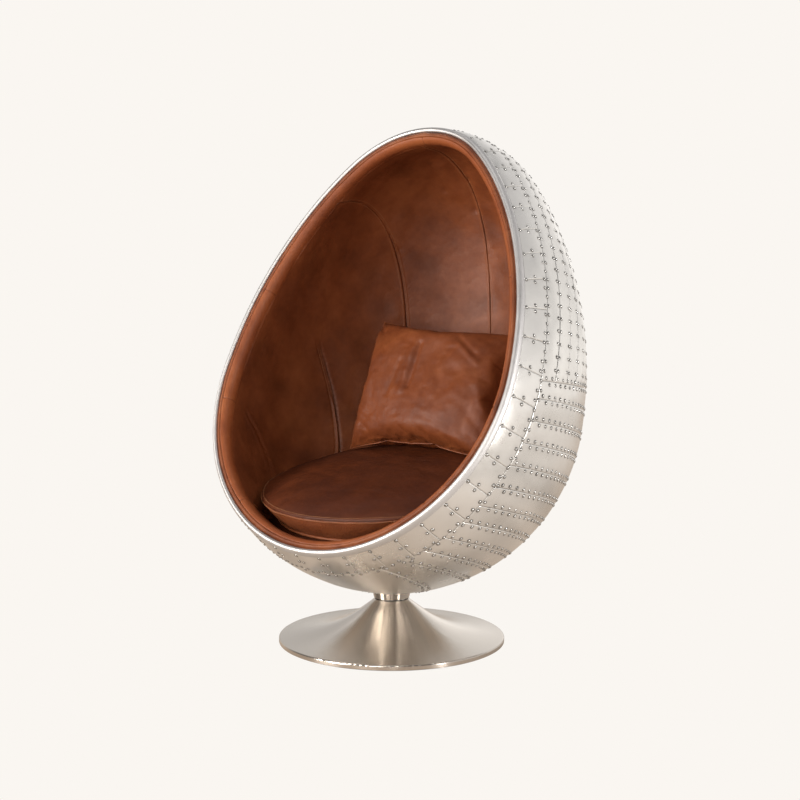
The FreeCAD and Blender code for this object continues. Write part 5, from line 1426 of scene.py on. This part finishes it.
# lighter rubbed bands beside the stitching; painted shade in the edge seams and on the lower boxing towards the deck
seat_wear = np.where(top, 0.5 * np.exp(-((inset_e - 0.0045) / 0.0035) ** 2) - 0.9 * np.exp(-(inset_e / 0.0010) ** 2), 0)
seat_wear += np.where((zid == 2)[None, :], 0.45 * np.exp(-((below_e - 0.004) / 0.003) ** 2) - 0.9 * np.exp(-(below_e / 0.0010) ** 2) - 0.3 * smooth01((below_e - 0.025) / 0.03), 0)
seat_wear += 0.12 * waves(SP, 0.10, 75)
nrow = R.shape[1]
i, j = np.meshgrid(np.arange(NPHI), np.arange(nrow - 1), indexing="ij")
i, j = i.ravel(), j.ravel()
i2 = (i + 1) % NPHI
F = np.stack([i * nrow + j, i * nrow + j + 1, i2 * nrow + j + 1, i2 * nrow + j], 1)
mi = (zid[j + 1] >= 2).astype(int)
V = SW.reshape(-1, 3)
# close the two centres
first, last = np.arange(NPHI) * nrow, np.arange(NPHI) * nrow + nrow - 1
lut = np.arange(len(V))
lut[first] = first[0]
lut[last] = last[0]
F = lut[F]
a, b_, c = V[F[5, 1]], V[F[5, 2]], V[F[5, 3]]
if np.dot(np.cross(b_ - a, c - b_), SZ) < 0:
    F = F[:, ::-1]
used = np.unique(F)
mp = np.full(len(V), -1)
mp[used] = np.arange(len(used))
seat_cover = make("cushion_seat_cover", V[used], mp[F], [M_SEAT_SHADED, M_BOXING], {"wear": np.clip(seat_wear.ravel()[used], -1, 1)}, index=mi)
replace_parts(seat_cover, "seat_cushion_cover", "seat_cushion_core")
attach(seat_cover, "seat_cushion")


def ring_at(inset=None, below=None):
    """The cushion's own surface along one row, with its normals."""
    col = int(np.argmin(np.abs(inset_e[190] - inset) + 1 * (zid > 1))) if inset is not None else int(np.argmin(np.abs(below_e[190] - below) + 1 * (zid != 2)))
    P_ = SW[:, col]
    N_ = Nf[:, col, 0:1] * SX + Nf[:, col, 1:2] * SY + Nf[:, col, 2:3] * SZ
    return np.vstack([P_, P_[:1]]), np.vstack([N_, N_[:1]])


st = []
for kw in ({"inset": 0.0062}, {"below": 0.0052}):
    P_, N_ = ring_at(**kw)
    v, f = stitch_line(P_, N_, pitch=0.0058, length=0.0040, r=0.00055, seed=5)
    st.append((v, f, {}))
v, f, _ = join(st)
seat_st = make("seat_stitches", v, f, M_THREAD, {"wear": np.full(len(v), 0.6)})
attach(seat_st, "seat_cushion")

# welt along the foot of the boxing, round the front half
phw = np.radians(np.linspace(-180, 0, 320))
rw = outline(phw, R_LOW) + 0.0022
cen = np.stack([rw * np.cos(phw), rw * np.sin(phw), np.full(320, -SEAT_LOW - 0.0008)], -1)
tan_ = np.gradient(cen, axis=0)
tan_ /= np.linalg.norm(tan_, axis=1, keepdims=True)
side_ = np.stack([np.cos(phw), np.sin(phw), np.zeros(320)], -1)
upv = np.array([0, 0, 1.0])
m = 12
th = np.arange(m) * 2 * pi / m
rr_w = 0.0033 * (1 + 0.05 * waves(cen, 0.02, 81))
V = cen[:, None] + rr_w[:, None, None] * (np.cos(th)[None, :, None] * side_[:, None] + np.sin(th)[None, :, None] * upv)
F = grid_faces(320, m)
i, j = np.meshgrid(np.arange(319), np.arange(m), indexing="ij")
i, j = i.ravel(), j.ravel()
F = np.stack([i * m + j, (i + 1) * m + j, (i + 1) * m + (j + 1) % m, i * m + (j + 1) % m], 1)
V = seat_world(V.reshape(-1, 3))
base_n = len(V)
V = np.vstack([V, seat_world(cen[:1]), seat_world(cen[-1:])])
capf = [(base_n, (k + 1) % m, k, base_n) for k in range(m)] + [(base_n + 1, 319 * m + k, 319 * m + (k + 1) % m, base_n + 1) for k in range(m)]
F = np.vstack([F, np.array(capf)])
a, b_, c = V[F[0, 0]], V[F[0, 1]], V[F[0, 2]]
if np.dot(np.cross(b_ - a, c - b_), a - seat_world(cen[:1])[0]) < 0:
    F = F[:, ::-1]
welt = make("seat_welt", V, F, M_PIPING, {"wear": np.full(len(V), 0.6)})
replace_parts(welt, "seat_cushion_welt")
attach(welt, "seat_cushion")

# ------------------------------------------------------------------ back pillow
PW, PH, PT = 0.520, 0.388, 0.172
PIL = Matrix.Translation((0.012, 0.180, 0.642)) @ Matrix.Rotation(math.radians(-25), 4, "X") @ Matrix.Rotation(math.radians(3), 4, "Y")
PM = np.array(PIL)


def pillow_grid(nx, nz, w, h, t0):
    """Two flat sheets joined at the edge: x across, z up, y through."""
    u, v = np.meshgrid(np.linspace(-1, 1, nx), np.linspace(-1, 1, nz), indexing="ij")
    # edges drawn in a little between the corners
    x = u * w / 2 * (1 - 0.020 * (1 - v ** 2))
    z = v * h / 2 * (1 - 0.026 * (1 - u ** 2))
    e = np.minimum(1 - np.abs(u), 1 - np.abs(v))
    y = t0 * smooth01(e / 0.25)
    front = np.stack([x, -y, z], -1).reshape(-1, 3)
    back = np.stack([x, y, z], -1).reshape(-1, 3)
    idx = np.arange(nx * nz).reshape(nx, nz)
    edge = np.zeros((nx, nz), bool)
    edge[0] = edge[-1] = True
    edge[:, 0] = edge[:, -1] = True
    idb = idx + nx * nz
    idb[edge] = idx[edge]
    F1 = np.stack([idx[:-1, :-1], idx[1:, :-1], idx[1:, 1:], idx[:-1, 1:]], -1).reshape(-1, 4)
    F2 = np.stack([idb[:-1, :-1], idb[:-1, 1:], idb[1:, 1:], idb[1:, :-1]], -1).reshape(-1, 4)
    V = np.vstack([front, back])
    F = np.vstack([F1, F2])
    used = np.unique(F)
    mp = np.full(len(V), -1)
    mp[used] = np.arange(len(used))
    seam = mp[np.concatenate([idx[:, 0], idx[-1, 1:], idx[::-1, -1][1:], idx[0, ::-1][1:-1]])]
    return V[used], mp[F], seam


PV, PF, PSEAM = pillow_grid(104, 84, 0.600, 0.488, 0.012)
r_ = RNG(21)
PV[:, 1] += 0.0012 * waves(PV, 0.07, 91) * (np.abs(PV[:, 1]) > 0.004)
pob = make("pillow_cover", PV, PF, M_PILLOW)
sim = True
if sim:
    cl = pob.modifiers.new("cloth", "CLOTH")
    cs = cl.settings
    cs.quality = 7
    cs.mass = 0.45
    cs.tension_stiffness = 28
    cs.compression_stiffness = 28
    cs.shear_stiffness = 12
    cs.bending_stiffness = 1.6
    cs.air_damping = 2.5
    cs.use_pressure = True
    cs.uniform_pressure_force = 6.0
    cs.use_pressure_volume = False
    cs.effector_weights.gravity = 0.0
    cl.collision_settings.use_collision = False
    cl.collision_settings.use_self_collision = False
    scn = bpy.context.scene
    scn.frame_start, scn.frame_end = 1, 22
    cl.point_cache.frame_start, cl.point_cache.frame_end = 1, 22
    for fno in range(1, 23):
        scn.frame_set(fno)
    dg = bpy.context.evaluated_depsgraph_get()
    ev = pob.evaluated_get(dg)
    em = ev.to_mesh()
    co = np.empty(len(em.vertices) * 3, np.float32)
    em.vertices.foreach_get("co", co)
    co = co.reshape(-1, 3).astype(float)
    ev.to_mesh_clear()
    pob.modifiers.remove(cl)
    scn.frame_set(1)
else:
    co = PV.copy()
    e = np.minimum(1 - np.abs(co[:, 0]) / 0.300, 1 - np.abs(co[:, 2]) / 0.244)
    co[:, 1] = np.sign(co[:, 1]) * PT / 2 * np.maximum(e, 0) ** 0.5
co -= (co.min(0) + co.max(0)) / 2
ext = co.max(0) - co.min(0)
print("pillow after filling", ext)
co *= np.array([PW, PT, PH]) / ext
# settled creases and tucked corners, in the pillow's own axes
front = smooth01((-co[:, 1] + 0.01) / 0.02)


def crease(x1, z1, x2, z2, w, am, bend=0.0):
    dd, t = seg_dist(np.stack([co[:, 0], np.zeros(len(co)), co[:, 2]], -1), np.array([x1, 0.0, z1]), np.array([x2, 0.0, z2]))
    return am * np.exp(-(dd / w) ** 2)


push = np.zeros(len(co))
for args in ((-0.020, 0.095, -0.034, -0.030, 0.007, 0.0058), (-0.040, 0.080, -0.052, -0.045, 0.010, -0.0042), (-0.075, 0.040, -0.100, -0.060, 0.008, 0.0040),
             (-0.225, -0.120, -0.165, -0.150, 0.007, 0.0050), (-0.205, -0.095, -0.140, -0.125, 0.008, -0.0034), (-0.190, -0.165, -0.110, -0.160, 0.006, 0.0038),
             (0.090, 0.130, 0.150, 0.085, 0.008, 0.0046), (0.105, 0.105, 0.165, 0.060, 0.009, -0.0032), (-0.235, 0.165, -0.190, 0.135, 0.008, 0.0062),
             (-0.215, 0.185, -0.160, 0.165, 0.007, 0.0034), (0.02, -0.10, 0.12, -0.135, 0.010, 0.0030), (-0.06, 0.16, 0.04, 0.165, 0.009, 0.0024),
             (-0.17, 0.03, -0.15, -0.07, 0.012, 0.0026), (0.17, -0.02, 0.15, -0.12, 0.012, 0.0030), (0.05, 0.04, 0.075, -0.04, 0.011, 0.0022)):
    push += crease(*args)
co[:, 1] += front * push
co[:, 1] += front * (0.0005 * waves(co, 0.05, 95) + 0.0016 * waves(co, 0.13, 94))
# it has slumped: the top edge falls to the right and leans left, and the sides curl back with the bowl
hz = co[:, 2] / (PH / 2)
co[:, 0] += -0.018 * hz
co[:, 2] -= co[:, 0] * (0.010 + 0.045 * (hz + 1) / 2)
co[:, 1] += 0.030 * np.abs(co[:, 0] / 0.26) ** 3
PL = co.copy()
pw = PL @ PM[:3, :3].T + PM[:3, 3]
# keep clear of the seat and of the lining behind
sx, sy, sz = seat_local(pw)
rs = np.hypot(sx, sy)
top_z = 0.050 * (1 - np.clip(rs / 0.380, 0, 1) ** 2.5) ** 0.82
under = np.maximum(top_z + 0.0022 - sz, 0) * (rs < 0.395)
pw += SZ * under[:, None]
for _ in range(3):
    dp = depth_of(pw)
    pushin = np.maximum(0.0515 - dp, 0)
    pw += inward(pw) * pushin[:, None]
me = pob.data
me.vertices.foreach_set("co", np.ascontiguousarray(pw, np.float32).ravel())
me.update()
sub = pob.modifiers.new("fine", "SUBSURF")
sub.levels = sub.render_levels = 1
bpy.context.view_layer.objects.active = pob
pob.select_set(True)
bpy.ops.object.modifier_apply(modifier="fine")
n = len(me.vertices)
co = np.empty(n * 3, np.float32)
me.vertices.foreach_get("co", co)
co = co.reshape(-1, 3).astype(float)
inv = np.linalg.inv(PM)
lc_ = co @ inv[:3, :3].T + inv[:3, 3]
# the seam shows as a fine raised edge
seam_pts = pw[PSEAM]
kd = kdtree.KDTree(len(seam_pts) * 4)
sm = np.vstack([seam_pts, seam_pts[:1]])
k_ = 0
for a, b_ in zip(sm[:-1], sm[1:]):
    for t in (0, 0.25, 0.5, 0.75):
        kd.insert(a + (b_ - a) * t, k_)
        k_ += 1
kd.balance()
sd = np.array([kd.find(p)[2] for p in co])
# lighter rubbed band along the seam and painted shade in its groove
wear = 0.35 * np.exp(-(sd / 0.007) ** 2) - 0.9 * np.exp(-(sd / 0.0012) ** 2) + 0.12 * waves(co, 0.09, 96)
wear += 0.25 * np.clip(-waves(co, 0.05, 97), 0, 1) * 0.3
at = me.attributes.new("wear", "FLOAT", "POINT")
at.data.foreach_set("value", np.clip(wear, -1, 1).astype(np.float32))
me.polygons.foreach_set("use_smooth", np.ones(len(me.polygons), bool))
nrm = np.empty(n * 3, np.float32)
me.vertices.foreach_get("normal", nrm)
nrm = nrm.reshape(-1, 3)
along_ = waves(co, 0.012, 98)
dd = -0.0009 * np.exp(-(sd / 0.0016) ** 2) + 0.0006 * np.exp(-((sd - 0.006) / 0.003) ** 2)
dd += 0.0006 * np.exp(-((sd - 0.014) / 0.010) ** 2) * along_ + 0.00016 * waves(co, 0.022, 99)
co += nrm * dd[:, None]
me.vertices.foreach_set("co", np.ascontiguousarray(co, np.float32).ravel())
me.update()
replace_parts(pob, "back_pillow_cover", "back_pillow_core")
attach(pob, "back_pillow")
# a thin cord of turned leather along the seam
ns = len(seam_pts)
rr_ = 0.0013
cen = seam_pts
tg = np.roll(cen, -1, 0) - np.roll(cen, 1, 0)
tg /= np.linalg.norm(tg, axis=1, keepdims=True)
out_ = cen - cen.mean(0)
out_ -= tg * np.sum(out_ * tg, 1, keepdims=True)
out_ /= np.linalg.norm(out_, axis=1, keepdims=True)
up_ = np.cross(tg, out_)
m = 8
th = np.arange(m) * 2 * pi / m
V = (cen[:, None] + rr_ * (1.5 * np.cos(th)[None, :, None] * out_[:, None] + np.sin(th)[None, :, None] * up_[:, None])).reshape(-1, 3)
i, j = np.meshgrid(np.arange(ns), np.arange(m), indexing="ij")
i, j = i.ravel(), j.ravel()
F = np.stack([i * m + j, ((i + 1) % ns) * m + j, ((i + 1) % ns) * m + (j + 1) % m, i * m + (j + 1) % m], 1)
a, b_, c = V[F[0, 0]], V[F[0, 1]], V[F[0, 2]]
if np.dot(np.cross(b_ - a, c - b_), a - cen[0]) < 0:
    F = F[:, ::-1]
edge_cord = make("pillow_seam", V, F, M_PIPING, {"wear": np.full(len(V), -0.1)})
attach(edge_cord, "back_pillow")

# ------------------------------------------------------------------ bodies that the pieces ride on
for ob in list(bpy.data.objects):
    if ob.type == "MESH" and "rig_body" not in ob and "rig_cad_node" not in ob:
        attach(ob, "pod")

# ------------------------------------------------------------------ floor, light, camera
CREAM = (0.956, 0.922, 0.880)
m, nt, bs = new_mat("studio_floor")
nt.nodes.clear()
out = nt.nodes.new("ShaderNodeOutputMaterial")
em = nt.nodes.new("ShaderNodeEmission")
em.inputs["Color"].default_value = CREAM + (1,)
em.inputs["Strength"].default_value = 1.0
# painted light: to the camera the floor is an even cream; to all other rays it glows warm and mottled, brighter towards
# +X, lighting the chair from below and shaping what its metal reflects
floor_bounce_glow = nt.nodes.new("ShaderNodeEmission")
ft = nt.nodes.new("ShaderNodeTexCoord")
fs = nt.nodes.new("ShaderNodeSeparateXYZ")
nt.links.new(ft.outputs["Object"], fs.inputs[0])
nt.links.new(mixc(nt, maprange(nt, fs.outputs[0], 0.15, 1.1, 0.0, 1.0), (0.56, 0.455, 0.365), (0.80, 0.745, 0.69)), floor_bounce_glow.inputs["Color"])
fn = noise_tex(nt, ft.outputs["Object"], 1.7, 3.0, 0.55)
nt.links.new(maprange(nt, fn, 0.34, 0.66, 0.66, 1.24), floor_bounce_glow.inputs["Strength"])
lf = nt.nodes.new("ShaderNodeLightPath")
ad = nt.nodes.new("ShaderNodeMixShader")
nt.links.new(lf.outputs["Is Camera Ray"], ad.inputs[0])
nt.links.new(floor_bounce_glow.outputs[0], ad.inputs[1])
nt.links.new(em.outputs[0], ad.inputs[2])
nt.links.new(ad.outputs[0], out.inputs[0])
bpy.ops.mesh.primitive_plane_add(size=60, location=(0, 0, -0.0004))
floor = bpy.context.object
floor.name = "studio_floor"
floor.data.materials.append(m)

w = bpy.data.worlds.new("studio")
bpy.context.scene.world = w
w.use_nodes = True
nt = w.node_tree
nt.nodes.clear()
out = nt.nodes.new("ShaderNodeOutputWorld")
bg1 = nt.nodes.new("ShaderNodeBackground")
bg1.inputs[0].default_value = CREAM + (1,)
bg1.inputs[1].default_value = 1.0
tc = nt.nodes.new("ShaderNodeTexCoord")
sep = nt.nodes.new("ShaderNodeSeparateXYZ")
nt.links.new(tc.outputs["Generated"], sep.inputs[0])
back = ramp(nt, maprange(nt, sep.outputs[1], -1, 1, 0, 1), [(0.0, (0.13, 0.125, 0.12)), (0.42, (0.17, 0.165, 0.16)), (0.62, (0.80, 0.775, 0.75)), (1.0, (1.05, 1.02, 0.98))])
high = ramp(nt, maprange(nt, sep.outputs[2], 0, 1, 0, 1), [(0.0, (1.0, 1.0, 1.0)), (0.45, (0.92, 0.93, 0.95)), (0.8, (0.42, 0.43, 0.45)), (1.0, (0.36, 0.37, 0.39))])
sky = mixc(nt, 1.0, back, high, "MULTIPLY")
bg2 = nt.nodes.new("ShaderNodeBackground")
nt.links.new(sky, bg2.inputs[0])
wn = noise_tex(nt, tc.outputs["Generated"], 2.6, 3.0, 0.5, 0.6)
nt.links.new(maprange(nt, wn, 0.36, 0.64, 0.66, 1.38), bg2.inputs[1])
lp = nt.nodes.new("ShaderNodeLightPath")
mx = nt.nodes.new("ShaderNodeMixShader")
nt.links.new(lp.outputs["Is Camera Ray"], mx.inputs[0])
nt.links.new(bg2.outputs[0], mx.inputs[1])
nt.links.new(bg1.outputs[0], mx.inputs[2])
nt.links.new(mx.outputs[0], out.inputs[0])


def area(name, at, aim, size, power, color=(1, 1, 1), size_y=None, spread=None):
    d = bpy.data.lights.new(name, "AREA")
    d.shape = "RECTANGLE"
    d.size, d.size_y = size, size_y or size
    d.energy = power
    d.color = color
    if spread:
        d.spread = math.radians(spread)
    o = bpy.data.objects.new(name, d)
    o.location = at
    o.rotation_euler = (Vector(aim) - Vector(at)).to_track_quat("-Z", "Y").to_euler()
    bpy.context.scene.collection.objects.link(o)
    return o


area("key_left_front", (-1.9, -3.6, 1.25), (0.08, 0.1, 0.72), 1.5, 150, (1.0, 0.965, 0.92), 1.5)
area("strip_right", (3.5, -0.35, 0.95), (0.0, 0.0, 0.65), 0.34, 48, (1.0, 0.985, 0.97), 1.9)
area("strip_camera", (2.6, -3.3, 0.70), (0.0, 0.0, 0.35), 0.16, 7, (1.0, 0.98, 0.95), 1.2)
area("soft_front", (0.9, -4.2, 1.55), (0.0, 0.0, 0.8), 1.6, 62, (1.0, 0.965, 0.92), 1.2)
area("soft_top", (0.4, -0.4, 3.6), (0.0, 0.1, 0.6), 1.8, 12, (1.0, 0.99, 0.97), 1.8)

cd = bpy.data.cameras.new("cam")
cam = bpy.data.objects.new("cam", cd)
bpy.context.scene.collection.objects.link(cam)
right = Vector((0.80159, 0.59787, 0.0))
up = Vector((-0.00766, 0.01027, 0.99992))
fwd = Vector((-0.59782, 0.80152, -0.01281))
rot = Matrix((right, up, -fwd)).transposed()
cam.matrix_world = Matrix.Translation((1.64402, -2.20419, 0.73523)) @ rot.to_4x4()
cd.sensor_width = 36
cd.lens = 47.925
cd.shift_x, cd.shift_y = 0.0105, -0.040
cd.clip_end = 100
bpy.context.scene.camera = cam
vs = bpy.context.scene.view_settings
vs.view_transform = "Standard"
vs.look = "None"
vs.exposure = 0.0
vs.gamma = 1.0
